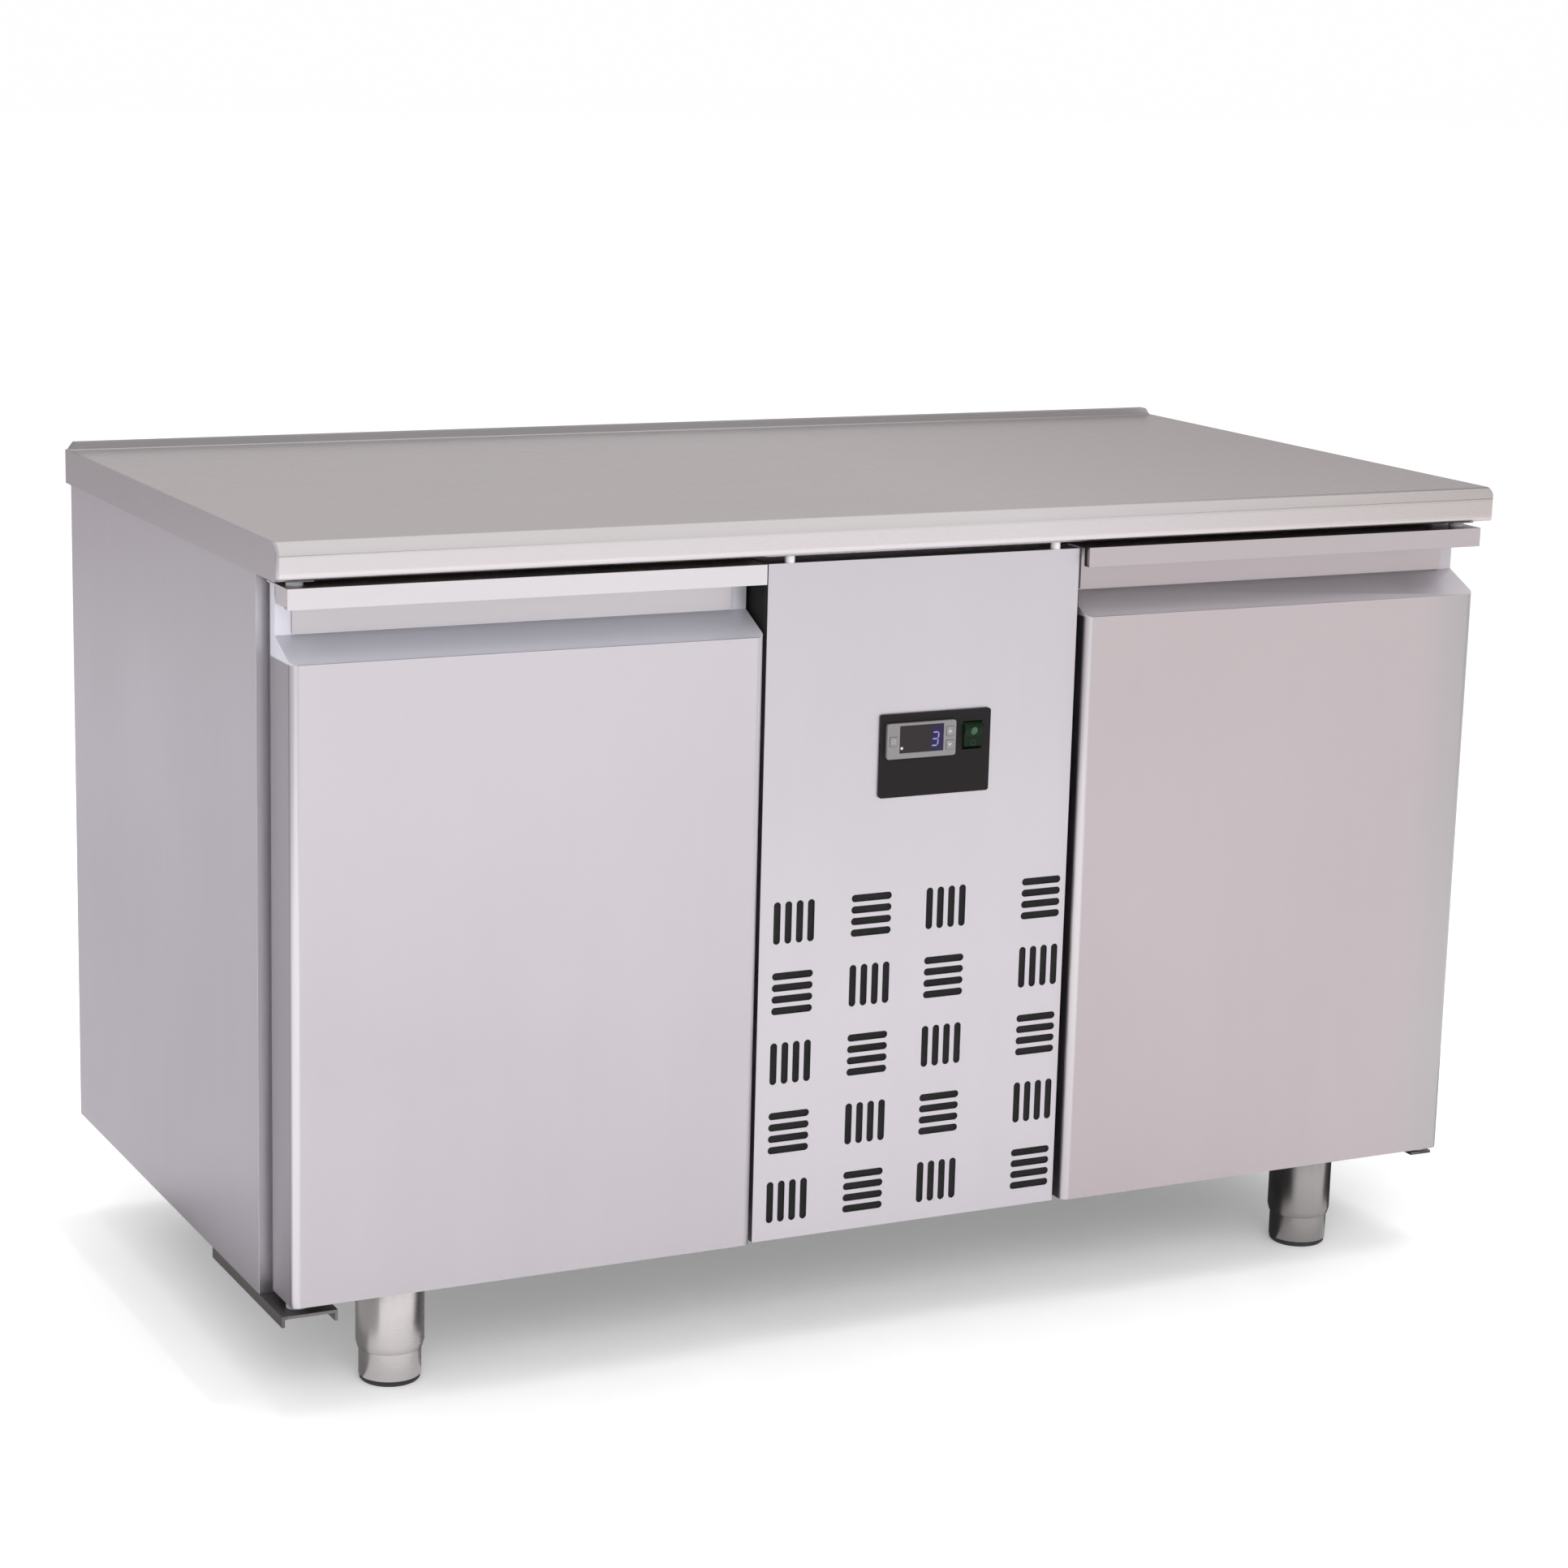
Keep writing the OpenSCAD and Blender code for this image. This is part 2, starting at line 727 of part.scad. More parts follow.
// Insulated box round the evaporator, open to the ducts on both sides
module evaporator_housing() {
    half = bay_x - 2;
    w = evap_wall;
    color("whitesmoke") difference() {
        block([-half, evap_y[0], evap_z[0]], [half, evap_y[1], evap_z[1]]);
        block([-half + w, evap_y[0] + w, evap_z[0] + w], [half - w, evap_y[1] - w, evap_z[1] - w]);
        for (side = [-1, 1]) on_side(side) ducts(-half - eps, -half + w + eps);
    }
    color("whitesmoke") for (side = [-1, 1]) on_side(side)
        block([-half, evap_y[0] + 30, evap_z[1]], [-half + 20, evap_y[1] - 30, comp_z1]);
}

module evaporator_coil() {
    color("silver") finned_block([-105, evap_fan_y + 62, evap_z[0] + 26],
                                 [105, evap_y[1] - 22, evap_z[1] - 26], 16, 5);
    color("silver") for (x = [-90, 74])
        block([x, evap_fan_y + 70, evap_z[0] + evap_wall],
              [x + 16, evap_y[1] - 30, evap_z[0] + 28]);
}

// Open tray that catches the defrost water beside the compressor
module condensate_tray() {
    low = [58, 20, tray_top];
    high = [150, 240, tray_top + 44];
    wall = 2;
    color("darkgray") difference() {
        block(low, high);
        block([low[0] + wall, low[1] + wall, low[2] + wall],
              [high[0] - wall, high[1] - wall, high[2] + eps]);
    }
}

module refrigerant_pipes() {
    top = tray_top + 12 + 176;
    cx = compressor_at[0];
    cy = compressor_at[1];
    r = 4;
    color("darkorange") {
        // Discharge, from the compressor to the condenser's upper tube
        pipe([[cx + 30, cy, top], [cx + 30, cy, top + 60], [-150, cy, top + 60],
              [-150, coil_y[1] - 22, top + 60], [-150, coil_y[1] - 22, 372],
              [-coil_w / 2 - 6, coil_y[1] - 22, 372]], r);
        // Liquid line, from the condenser's lower tube up to the evaporator
        pipe([[coil_w / 2 + 6, coil_y[1] - 22, 157], [150, coil_y[1] - 22, 157],
              [150, -40, 157], [150, -40, 452], [110, -40, 452],
              [110, 250, 452], [110, 250, evap_z[0]]], r);
        // Suction line, from the evaporator back down to the compressor
        pipe([[-110, 250, evap_z[0]], [-110, 250, 452], [cx - 20, 250, 452],
              [cx - 20, cy + 20, 452], [cx - 20, cy + 20, top]], r);
    }
}

// Gland in the back panel where the mains lead would leave
module cable_gland() {
    color("black") translate([120, 0, 140]) difference() {
        union() {
            translate([0, body_back, 0]) rotate([-90, 0, 0]) cylinder(h = 4.5, r = 13, $fn = 6);
            translate([0, back_in - 12, 0]) rotate([-90, 0, 0]) cylinder(h = 16, r = 9);
            translate([0, back_in - 6, 0]) rotate([-90, 0, 0]) cylinder(h = 6, r = 13, $fn = 6);
        }
        translate([0, back_in - 20, 0]) rotate([-90, 0, 0]) cylinder(h = 40, r = 4.5);
    }
}

// ---------------------------------------------------------------- doors

// Side view of a door, drawn in by an inset; the back is open when it runs past the door
module door_outline(inset, back, top) {
    slope = slant_rise / grip_depth;
    drop = inset * (sqrt(1 + slope * slope) - slope);
    polygon([
        [door_front + inset, door_z0 + inset], [back, door_z0 + inset], [back, top],
        [grip_back + inset, top], [grip_back + inset, slant_top - drop],
        [door_front + inset, face_top - drop]]);
}

// Plan of a door, with round front corners; r = 0 draws a plain rectangle
module door_plan(inset, back) {
    x0 = door_x0 + inset;
    x1 = door_x1 - inset;
    r = door_edge_r - inset;
    translate([x0, door_front + inset + r]) square([x1 - x0, back - door_front - inset - r]);
    translate([x0 + r, door_front + inset]) square([x1 - x0 - 2 * r, r + 1]);
    for (x = [x0 + r, x1 - r]) translate([x, door_front + inset + r]) circle(r);
}

module door_solid(inset, back, top) {
    intersection() {
        along_x(door_x0 - 1, door_x1 + 1) door_outline(inset, back, top);
        translate([0, 0, door_z0 - 1]) linear_extrude(door_z1 - door_z0 + 2)
            door_plan(inset, back + 1);
    }
}

module lower_bush_hole(r, h) {
    translate([hinge_x, hinge_y, door_z0 - 1]) cylinder(h = h + 1, r = r);
}

module door_skin(side) {
    color("lightgray") on_side(side) difference() {
        door_solid(0, door_back, door_z1);
        door_solid(skin_t, door_back + 2, door_z1 - skin_t);
        lower_bush_hole(8.1, 3);
    }
}

module door_foam(side) {
    color("khaki") on_side(side) difference() {
        door_solid(skin_t + slack, door_back - slack, door_z1 - skin_t - slack);
        lower_bush_hole(8.4, 18);
    }
}

// Inner face of a door, with a raised middle inside the gasket
module door_liner(side) {
    edge = gasket_w + 18;
    color("whitesmoke") on_side(side) {
        block([door_x0 + 1, door_back, door_z0 + 1], [door_x1 - 1, liner_plate, door_z1 - 1]);
        along_y(liner_plate - 0.2, liner_plate + 5.8)
            translate([(door_x0 + door_x1) / 2, (door_z0 + door_z1) / 2 - 0.5])
                round_rect([door_x1 - door_x0 - 2 * edge, door_z1 - door_z0 - 2 * edge], 12);
    }
}

// Magnetic gasket: a flat foot with a narrower bellows that meets the frame
module door_gasket(side) {
    low = [door_x0 + 14, liner_plate, door_z0 + 14];
    high = [door_x1 - 14, gasket_back, grip_top - 14];
    foot_t = 4;
    color("dimgray") on_side(side) {
        ring_y(low, [high[0], low[1] + foot_t, high[2]], gasket_w);
        ring_y([low[0] + 2, low[1] + foot_t - 0.2, low[2] + 2],
               [high[0] - 2, high[1], high[2] - 2], gasket_w - 4);
    }
}

// Grip profile: lip, cap, the back plate of the recess and a cheek at the lip's hinge end
module door_grip(side) {
    t = grip_t;
    plate_inset = 16;
    overhang = 3;
    color("gainsboro") on_side(side) difference() {
        union() {
            along_x(door_x0 - overhang, door_x1 + 0.5) polygon([
                [door_front, grip_top], [door_back, grip_top], [door_back, grip_top - t],
                [door_front + t, grip_top - t], [door_front + t, grip_top - lip_h + t],
                [door_front + 10, grip_top - lip_h + t], [door_front + 10, grip_top - lip_h],
                [door_front, grip_top - lip_h]]);
            block([door_x0 + plate_inset, grip_back - t, slant_top + 1],
                  [door_x1 - plate_inset, grip_back, grip_top - 1]);
            block([door_x0, door_front + 1, grip_top - lip_h],
                  [door_x0 + 0.8, grip_back - t, grip_top - 0.5]);
        }
        translate([hinge_x, hinge_y, grip_top - lip_h]) cylinder(h = lip_h + 1, r = 8.1);
    }
}

// Nylon bushes: a block in the end of the recess at the top, a flanged bush at the bottom
module door_bushes(side) {
    t = grip_t;
    color("white") on_side(side) {
        difference() {
            union() {
                block([door_x0 + 1, door_front + t + 0.5, grip_top - lip_h + t + 0.3],
                      [hinge_x + 13, grip_back - t - 0.5, grip_top - t - 0.1]);
                translate([hinge_x, hinge_y, grip_top - t - 2]) cylinder(h = t + 5.9, r = 8);
            }
            translate([hinge_x, hinge_y, grip_top - lip_h]) cylinder(h = lip_h + 5, r = bush_bore_r);
        }
        difference() {
            union() {
                translate([hinge_x, hinge_y, leg_h + 0.4]) cylinder(h = door_z0 - leg_h - 0.4, r = 10);
                translate([hinge_x, hinge_y, door_z0 - 1]) cylinder(h = 17, r = 8);
            }
            translate([hinge_x, hinge_y, leg_h]) cylinder(h = 20, r = bush_bore_r);
        }
    }
}

module left_door_skin() { door_skin(-1); }
module left_door_foam() { door_foam(-1); }
module left_door_liner() { door_liner(-1); }
module left_door_gasket() { door_gasket(-1); }
module left_door_grip() { door_grip(-1); }
module left_door_bushes() { door_bushes(-1); }
module right_door_skin() { door_skin(1); }
module right_door_foam() { door_foam(1); }
module right_door_liner() { door_liner(1); }
module right_door_gasket() { door_gasket(1); }
module right_door_grip() { door_grip(1); }
module right_door_bushes() { door_bushes(1); }

// ---------------------------------------------------------------- drawing

worktop_sheet();
worktop_core();
left_side_panel();
right_side_panel();
back_panel();
base_panel();
front_frame();
gap_strip();
left_liner();
right_liner();
left_insulation();
right_insulation();
shelf_runners();
left_shelf();
right_shelf();
hinge_brackets();
leg_sleeves();
unit_panel();
dust_filter();
panel_spacers();
control_bezel();
controller_body();
display_window();
key_set();
key_up();
key_down();
switch_housing();
power_switch();
unit_tray();
compressor();
condenser_coil();
fan_shroud();
fan_motors();
condenser_fan();
evaporator_housing();
evaporator_coil();
evaporator_fan();
condensate_tray();
refrigerant_pipes();
cable_gland();
left_door_skin();
left_door_foam();
left_door_liner();
left_door_gasket();
left_door_grip();
left_door_bushes();
right_door_skin();
right_door_foam();
right_door_liner();
right_door_gasket();
right_door_grip();
right_door_bushes();
foot_front_left();
foot_front_right();
foot_rear_left();
foot_rear_right();
pad_front_left();
pad_front_right();
pad_rear_left();
pad_rear_right();
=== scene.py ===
"""Looks of the two-door refrigerated counter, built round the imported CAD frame."""

import math

import bmesh
import bpy
from mathutils import Matrix, Vector


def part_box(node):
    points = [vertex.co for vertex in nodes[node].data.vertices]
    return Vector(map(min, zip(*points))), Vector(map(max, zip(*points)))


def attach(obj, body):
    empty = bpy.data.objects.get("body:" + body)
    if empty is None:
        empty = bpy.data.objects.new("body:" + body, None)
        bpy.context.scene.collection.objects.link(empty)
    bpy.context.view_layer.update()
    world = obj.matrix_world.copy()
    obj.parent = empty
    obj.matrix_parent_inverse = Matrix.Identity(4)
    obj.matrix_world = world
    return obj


MM = 0.001

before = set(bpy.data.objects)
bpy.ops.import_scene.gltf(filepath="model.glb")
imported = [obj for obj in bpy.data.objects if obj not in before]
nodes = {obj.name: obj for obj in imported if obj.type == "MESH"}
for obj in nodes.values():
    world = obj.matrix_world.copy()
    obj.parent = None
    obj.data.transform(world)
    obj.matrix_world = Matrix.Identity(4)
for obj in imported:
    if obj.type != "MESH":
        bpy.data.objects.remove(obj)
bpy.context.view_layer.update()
scene = bpy.context.scene

# ---------------------------------------------------------------- materials


class Tree:
    """A small helper that adds and links shader nodes of one material."""

    def __init__(self, name):
        self.material = bpy.data.materials.new(name)
        self.material.use_nodes = True
        self.nt = self.material.node_tree
        self.shader = self.nt.nodes["Principled BSDF"]

    def add(self, kind, inputs=None, **props):
        node = self.nt.nodes.new(kind)
        for key, value in props.items():
            setattr(node, key, value)
        for key, value in (inputs or {}).items():
            if isinstance(value, bpy.types.NodeSocket):
                self.nt.links.new(value, node.inputs[key])
            else:
                node.inputs[key].default_value = value
        return node

    def coords(self, scale=(1, 1, 1)):
        source = self.add("ShaderNodeTexCoord").outputs["Object"]
        return self.add("ShaderNodeMapping", {"Vector": source, "Scale": scale}).outputs["Vector"]

    def noise(self, vector, scale, detail=4.0, rough=0.6):
        return self.add("ShaderNodeTexNoise", {"Vector": vector, "Scale": scale, "Detail": detail,
                                               "Roughness": rough}).outputs["Fac"]

    def spread(self, value, low, high, start=0.3, end=0.7):
        return self.add("ShaderNodeMapRange", {"Value": value, "From Min": start, "From Max": end,
                                               "To Min": low, "To Max": high}).outputs["Result"]

    def math(self, kind, a, b):
        return self.add("ShaderNodeMath", {0: a, 1: b}, operation=kind).outputs["Value"]

    def mix(self, factor, a, b):
        node = self.add("ShaderNodeMix", data_type="RGBA")
        for key, value in ((0, factor), (6, a), (7, b)):
            if isinstance(value, bpy.types.NodeSocket):
                self.nt.links.new(value, node.inputs[key])
            else:
                node.inputs[key].default_value = value
        return node.outputs[2]

    def bump(self, height, strength, distance, normal=None):
        inputs = {"Height": height, "Strength": strength, "Distance": distance}
        if normal is not None:
            inputs["Normal"] = normal
        return self.add("ShaderNodeBump", inputs).outputs["Normal"]

    def link(self, **sockets):
        for key, value in sockets.items():
            target = self.shader.inputs[key.replace("_", " ")]
            if isinstance(value, bpy.types.NodeSocket):
                self.nt.links.new(value, target)
            else:
                target.default_value = value
        return self.material


def rgba(colour, k=1.0):
    """A colour with its strength scaled, and full alpha."""
    return (colour[0] * k, colour[1] * k, colour[2] * k, 1.0)


def zoned(t, base, metallic, zones):
    """Gives a sheet other tones past a plane. A zone is (axis, start, end, colour, metallic)."""
    for axis, start, end, colour, metal in zones:
        along = t.add("ShaderNodeSeparateXYZ", {0: t.coords()}).outputs[axis]
        past = t.spread(along, 0.0, 1.0, start, end)
        base = t.mix(past, base, rgba(colour))
        metallic = t.add("ShaderNodeMix", {0: past, 2: metallic, 3: metal}).outputs[0]
    return base, metallic


FINE_SHARE = 0.45          # share of the fine grain in a steel's tone; the broad streaks take the rest
ACROSS_GRAIN = 100         # noise scales above this lie across the grain
GRAIN_DEPTH = 0.00006      # metres
WAVE_DEPTH = 0.0012


def steel(name, colour, rough, grain, spread=0.04, streak=0.01, wave=0.2, zones=(), relief=0.1):
    """Satin brushed steel: fine grain along one axis, faint streaks and slow waves in the sheet."""
    t = Tree(name)
    coarse_grain = tuple(0.02 * g if g > ACROSS_GRAIN else 0.5 * g for g in grain)
    fine = t.noise(t.coords(grain), 1.0, detail=3.0, rough=0.7)
    broad = t.noise(t.coords(coarse_grain), 1.0, detail=2.0)
    smudge = t.noise(t.coords(), 3.2, detail=3.0, rough=0.5)
    both = t.math("ADD", t.math("MULTIPLY", fine, FINE_SHARE),
                  t.math("MULTIPLY", broad, 1 - FINE_SHARE))
    tone = t.spread(both, 0.0, 1.0, start=0.35, end=0.65)
    base = t.mix(tone, rgba(colour, 1 - streak), rgba(colour, 1 + streak))
    sheen = t.math("ADD", t.spread(fine, rough - spread, rough + spread),
                   t.spread(smudge, -0.03, 0.04))
    normal = t.bump(fine, strength=relief, distance=GRAIN_DEPTH)
    normal = t.bump(t.noise(t.coords(), 2.6, detail=1.0), wave, WAVE_DEPTH, normal)
    base, metallic = zoned(t, base, 1.0, zones)
    return t.link(Base_Color=base, Metallic=metallic, Roughness=sheen, Normal=normal)


def coated(name, colour, rough, texture=900.0, strength=0.15, coat=0.0, tint=0.08, specular=0.5,
           zones=()):
    """Moulded plastic, rubber or paint: a fine skin texture and a little dust and wear in tone."""
    t = Tree(name)
    grain = t.noise(t.coords(), texture, detail=2.0, rough=0.5)
    patch = t.noise(t.coords(), 14.0)
    base = t.mix(t.spread(patch, 0.0, 1.0), rgba(colour, 1 - tint), rgba(colour, 1 + tint))
    sheen = t.math("ADD", t.spread(patch, rough - 0.05, rough + 0.06), t.spread(grain, -0.03, 0.03))
    base, metallic = zoned(t, base, 0.0, zones)
    return t.link(Base_Color=base, Metallic=metallic, Roughness=sheen, Coat_Weight=coat,
                  Specular_IOR_Level=specular, Normal=t.bump(grain, strength, distance=0.0002))


def foamed(name, colour):
    """Cut foam or board: small cells and a patchy tone."""
    t = Tree(name)
    cells = t.add("ShaderNodeTexVoronoi", {"Vector": t.coords(), "Scale": 700.0}).outputs["Distance"]
    patch = t.noise(t.coords(), 25.0)
    base = t.mix(t.spread(patch, 0.0, 1.0), rgba(colour, 0.86), rgba(colour, 1.08))
    return t.link(Base_Color=base, Roughness=t.spread(patch, 0.8, 0.95),
                  Normal=t.bump(cells, strength=0.5, distance=0.0006))


def glowing(name, colour, glow, strength, rough=0.25, specular=0.5):
    """Plastic lit from behind, a little uneven."""
    t = Tree(name)
    patch = t.noise(t.coords(), 160.0, detail=3.0)
    lit = t.mix(t.spread(patch, 0.0, 1.0), rgba(glow, 0.85), rgba(glow, 1.1))
    return t.link(Base_Color=t.mix(t.spread(patch, 0.0, 1.0), rgba(colour, 0.9), rgba(colour, 1.1)),
                  Roughness=t.spread(patch, rough - 0.03, rough + 0.05),
                  Emission_Color=lit, Emission_Strength=strength, Specular_IOR_Level=specular)


def window_glass():
    """Smoked window, with the blue of the lit digits spread over its right part."""
    t = Tree("display window")
    x = t.add("ShaderNodeSeparateXYZ", {0: t.coords()}).outputs["X"]
    lit = t.spread(x, 0.0, 1.0, start=0.001, end=0.018)
    patch = t.noise(t.coords(), 90.0, detail=3.0)
    base = t.mix(lit, rgba((0.022, 0.017, 0.018)), rgba((0.016, 0.012, 0.034)))
    return t.link(Base_Color=base, Roughness=t.spread(patch, 0.12, 0.2), Specular_IOR_Level=0.16,
                  Emission_Color=t.mix(lit, rgba((0, 0, 0)), rgba((0.02, 0.012, 0.09))),
                  Emission_Strength=0.2)


# Noise scales for a brushed grain that runs along one axis
ALONG_X, ALONG_Y, ALONG_Z = (7, 1400, 1400), (1400, 7, 1400), (1400, 1400, 7)

# Places in metres where a sheet's tone changes
GRIP_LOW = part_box("left_door_grip")[0].z
GRIP_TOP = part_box("left_door_grip")[1].z
FACE_TOP = GRIP_LOW - 0.022                # where a door's face turns into its slant
LIP_LOW = GRIP_TOP - 0.020                 # the underside of the grip's lip
TOP_COVER = 0.0021                         # the worktop's sheet, and its gap to the core
TOP_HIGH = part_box("worktop_core")[1].z + TOP_COVER
LEFT_DOOR_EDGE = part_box("left_door_skin")[0].x
RIGHT_DOOR_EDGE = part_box("right_door_skin")[0].x
FOLD = 0.008                               # the rounding of a door's upright edges


def fold_highlight_zones(edge, colour, side_shade):
    """A painted highlight on the upright fold on a door's left edge, and painted shade on the door's
    side past it.
    """
    fold_start, fold_end = edge + FOLD + 0.0006, edge + FOLD - 0.0016
    side_start, side_end = edge + 0.0011, edge + 0.0003
    return [("X", fold_start, fold_end, colour, 1.0), ("X", side_start, side_end, side_shade, 1.0)]


def slant_light_zone(colour):
    """Painted light over a door's face: a lighter, half-metallic tone on the slant, which lies in the
    shade of the lip.
    """
    return ("Z", FACE_TOP - 0.0005, FACE_TOP + 0.001, colour, 0.5)


def plate_shade_zone(colour):
    """Painted shade on the back plate of the grip's recess, below the lip."""
    return [("Z", LIP_LOW, LIP_LOW - 0.001, colour, 1.0)]


# The worktop's four zones paint light and shade: a darker front face below its top edge, a darker right
# half, a darker left end face and a painted shadow on its rear upstand. The legs' zone, between the
# left and right pairs, paints shade on the right pair.
M = {
    "top_steel": steel("worktop steel", (0.645, 0.62, 0.615), 0.28, ALONG_X, spread=0.03,
                       streak=0.012, wave=0.1, zones=[
                           # painted shade: the worktop's front face below its top edge is darker, to
                           # tame its highlight
                           ("Z", TOP_HIGH - 0.006, TOP_HIGH - 0.012, (0.605, 0.57, 0.585), 1.0),
                           # painted shade: the worktop's right half is darker
                           ("X", 0.1, 0.68, (0.495, 0.45, 0.44), 1.0),
                           # painted shade: the worktop's left end face is darker
                           ("X", -0.6765, -0.6775, (0.465, 0.44, 0.46), 1.0),
                           # painted shadow: a dark line on the worktop's rear upstand
                           ("Z", TOP_HIGH + 0.0005, TOP_HIGH + 0.001, (0.36, 0.35, 0.36), 1.0)]),
    "left_door_steel": steel("left door steel", (0.475, 0.45, 0.475), 0.36, ALONG_Z, zones=[
        # painted light: the door's upper face is lighter
        ("Z", 0.35, FACE_TOP, (0.545, 0.513, 0.547), 1.0),
        # painted highlight on the door's upright fold, and painted shade on its side past it
        *fold_highlight_zones(LEFT_DOOR_EDGE, (0.62, 0.59, 0.625), (0.37, 0.355, 0.38)),
        # painted light: a lighter tone on the slant, which lies in the shade of the lip
        slant_light_zone((0.66, 0.66, 0.72))]),
    # The right door's steel is a darker, shaded copy of the left door's: painted shade.
    "right_door_steel": steel("right door steel", (0.44, 0.396, 0.408), 0.36, ALONG_Z, zones=[
        # painted light: the door's upper face is lighter
        ("Z", 0.3, FACE_TOP, (0.477, 0.427, 0.437), 1.0),
        # painted shade: the right door's outer end is darker
        ("X", 0.60, 0.665, (0.395, 0.38, 0.39), 1.0),
        # painted highlight on the door's upright fold, and painted shade on its side past it
        *fold_highlight_zones(RIGHT_DOOR_EDGE, (0.58, 0.55, 0.57), (0.34, 0.32, 0.33)),
        # painted light: a lighter tone on the slant, which lies in the shade of the lip
        slant_light_zone((0.5, 0.47, 0.5))]),
    "side_steel": steel("side steel", (0.53, 0.505, 0.54), 0.36, ALONG_Z),
    "panel_steel": steel("panel steel", (0.53, 0.50, 0.535), 0.36, ALONG_Z),
    # painted shade on each grip's recess plate below the lip; the right grip's steel is a darker,
    # shaded copy of the left grip's
    "left_grip_steel": steel("left grip steel", (0.63, 0.605, 0.625), 0.33, ALONG_X,
                             zones=plate_shade_zone((0.5, 0.475, 0.49))),
    "right_grip_steel": steel("right grip steel", (0.455, 0.414, 0.424), 0.33, ALONG_X,
                              zones=plate_shade_zone((0.43, 0.385, 0.395))),
    "frame_steel": steel("frame steel", (0.56, 0.545, 0.565), 0.34, ALONG_Z),
    "liner_steel": steel("liner steel", (0.72, 0.72, 0.735), 0.3, ALONG_Z, spread=0.05, streak=0.03,
                         wave=0.5),
    "galvanised": steel("galvanised sheet", (0.55, 0.56, 0.575), 0.45, (60, 60, 60), spread=0.12,
                        streak=0.09),
    # painted shade: the hinge brackets' steel is darkened to the shade they sit in under the doors
    "bracket_steel": steel("bracket steel", (0.17, 0.16, 0.155), 0.4, ALONG_Y, spread=0.08,
                           streak=0.06),
    "leg_steel": steel("leg steel", (0.56, 0.535, 0.525), 0.29, (30, 30, 900), spread=0.03,
                       streak=0.04, wave=0.02, relief=0.02, zones=[
                           # painted shade: the right pair of legs is darker
                           ("X", 0.2, 0.4, (0.315, 0.3, 0.295), 1.0)]),
    "rod_steel": steel("polished rod", (0.72, 0.72, 0.73), 0.14, (200, 200, 200), spread=0.04,
                       streak=0.03, wave=0.1),
    "screw_steel": steel("screw steel", (0.6, 0.6, 0.61), 0.3, (700, 700, 700), spread=0.08,
                         streak=0.05, wave=0.1),
    "fins": steel("aluminium fins", (0.77, 0.78, 0.8), 0.36, ALONG_Z, spread=0.08, streak=0.07),
    "copper": steel("copper pipe", (0.72, 0.36, 0.22), 0.28, (90, 90, 90), spread=0.1,
                    streak=0.12),
    "foam": foamed("cut foam", (0.8, 0.69, 0.42)),
    "board": foamed("worktop board", (0.3, 0.24, 0.18)),
    "white_plastic": coated("white plastic", (0.74, 0.75, 0.76), 0.42, 700.0, 0.12, tint=0.03),
    "nylon": coated("nylon", (0.8, 0.81, 0.82), 0.38, 500.0, 0.1),
    "bush_nylon": coated("bush nylon", (0.42, 0.43, 0.45), 0.45, 500.0, 0.1, zones=[
        ("Z", GRIP_TOP - 0.0024, GRIP_TOP - 0.0019, (0.85, 0.86, 0.87), 0.0)]),
    "black_plastic": coated("black plastic", (0.012, 0.0105, 0.0105), 0.45, 1100.0, 0.15,
                            specular=0.12),
    # painted shade: a black sheet put into gaps where there is only shade
    "shadow_black": coated("painted shadow black", (0.006, 0.006, 0.006), 0.9, 1300.0, 0.6),
    "grey_plastic": coated("grey plastic", (0.19, 0.18, 0.185), 0.34, 900.0, 0.1),
    "key_plastic": coated("key plastic", (0.2, 0.19, 0.195), 0.4, 900.0, 0.1),
    "window": window_glass(),
    "gasket": coated("gasket rubber", (0.3, 0.3, 0.315), 0.62, 800.0, 0.25),
    "pad": coated("pad rubber", (0.022, 0.022, 0.024), 0.7, 500.0, 0.35),
    "black_paint": coated("black paint", (0.016, 0.016, 0.017), 0.28, 260.0, 0.14, coat=0.3),
    "grey_paint": coated("dark grey paint", (0.07, 0.07, 0.075), 0.4, 260.0, 0.14),
    "fan_plastic": coated("fan plastic", (0.06, 0.065, 0.075), 0.35, 900.0, 0.12),
    "tray_plastic": coated("tray plastic", (0.1, 0.105, 0.115), 0.45, 700.0, 0.15),
    "insulation_tube": coated("pipe lagging", (0.03, 0.03, 0.032), 0.85, 420.0, 0.5),
    "rocker": glowing("green rocker", (0.003, 0.009, 0.0035), (0.008, 0.05, 0.01), 0.1, rough=0.45,
                      specular=0.14),
    "mark_grey": coated("printed mark", (0.4, 0.39, 0.41), 0.5, 900.0, 0.05),
    "mark_green": glowing("lit green lens", (0.012, 0.05, 0.018), (0.03, 0.16, 0.045), 0.25,
                          rough=0.4),
    "mark_faint": coated("faint mark", (0.03, 0.045, 0.03), 0.5, 900.0, 0.05, specular=0.2),
    "mark_white": glowing("lit white lens", (0.4, 0.4, 0.39), (1.0, 0.97, 0.92), 0.2),
    "digit": glowing("lit blue segment", (0.08, 0.08, 0.26), (0.24, 0.22, 0.62), 0.7),
    "filter_foam": foamed("black filter foam", (0.004, 0.004, 0.004)),
}

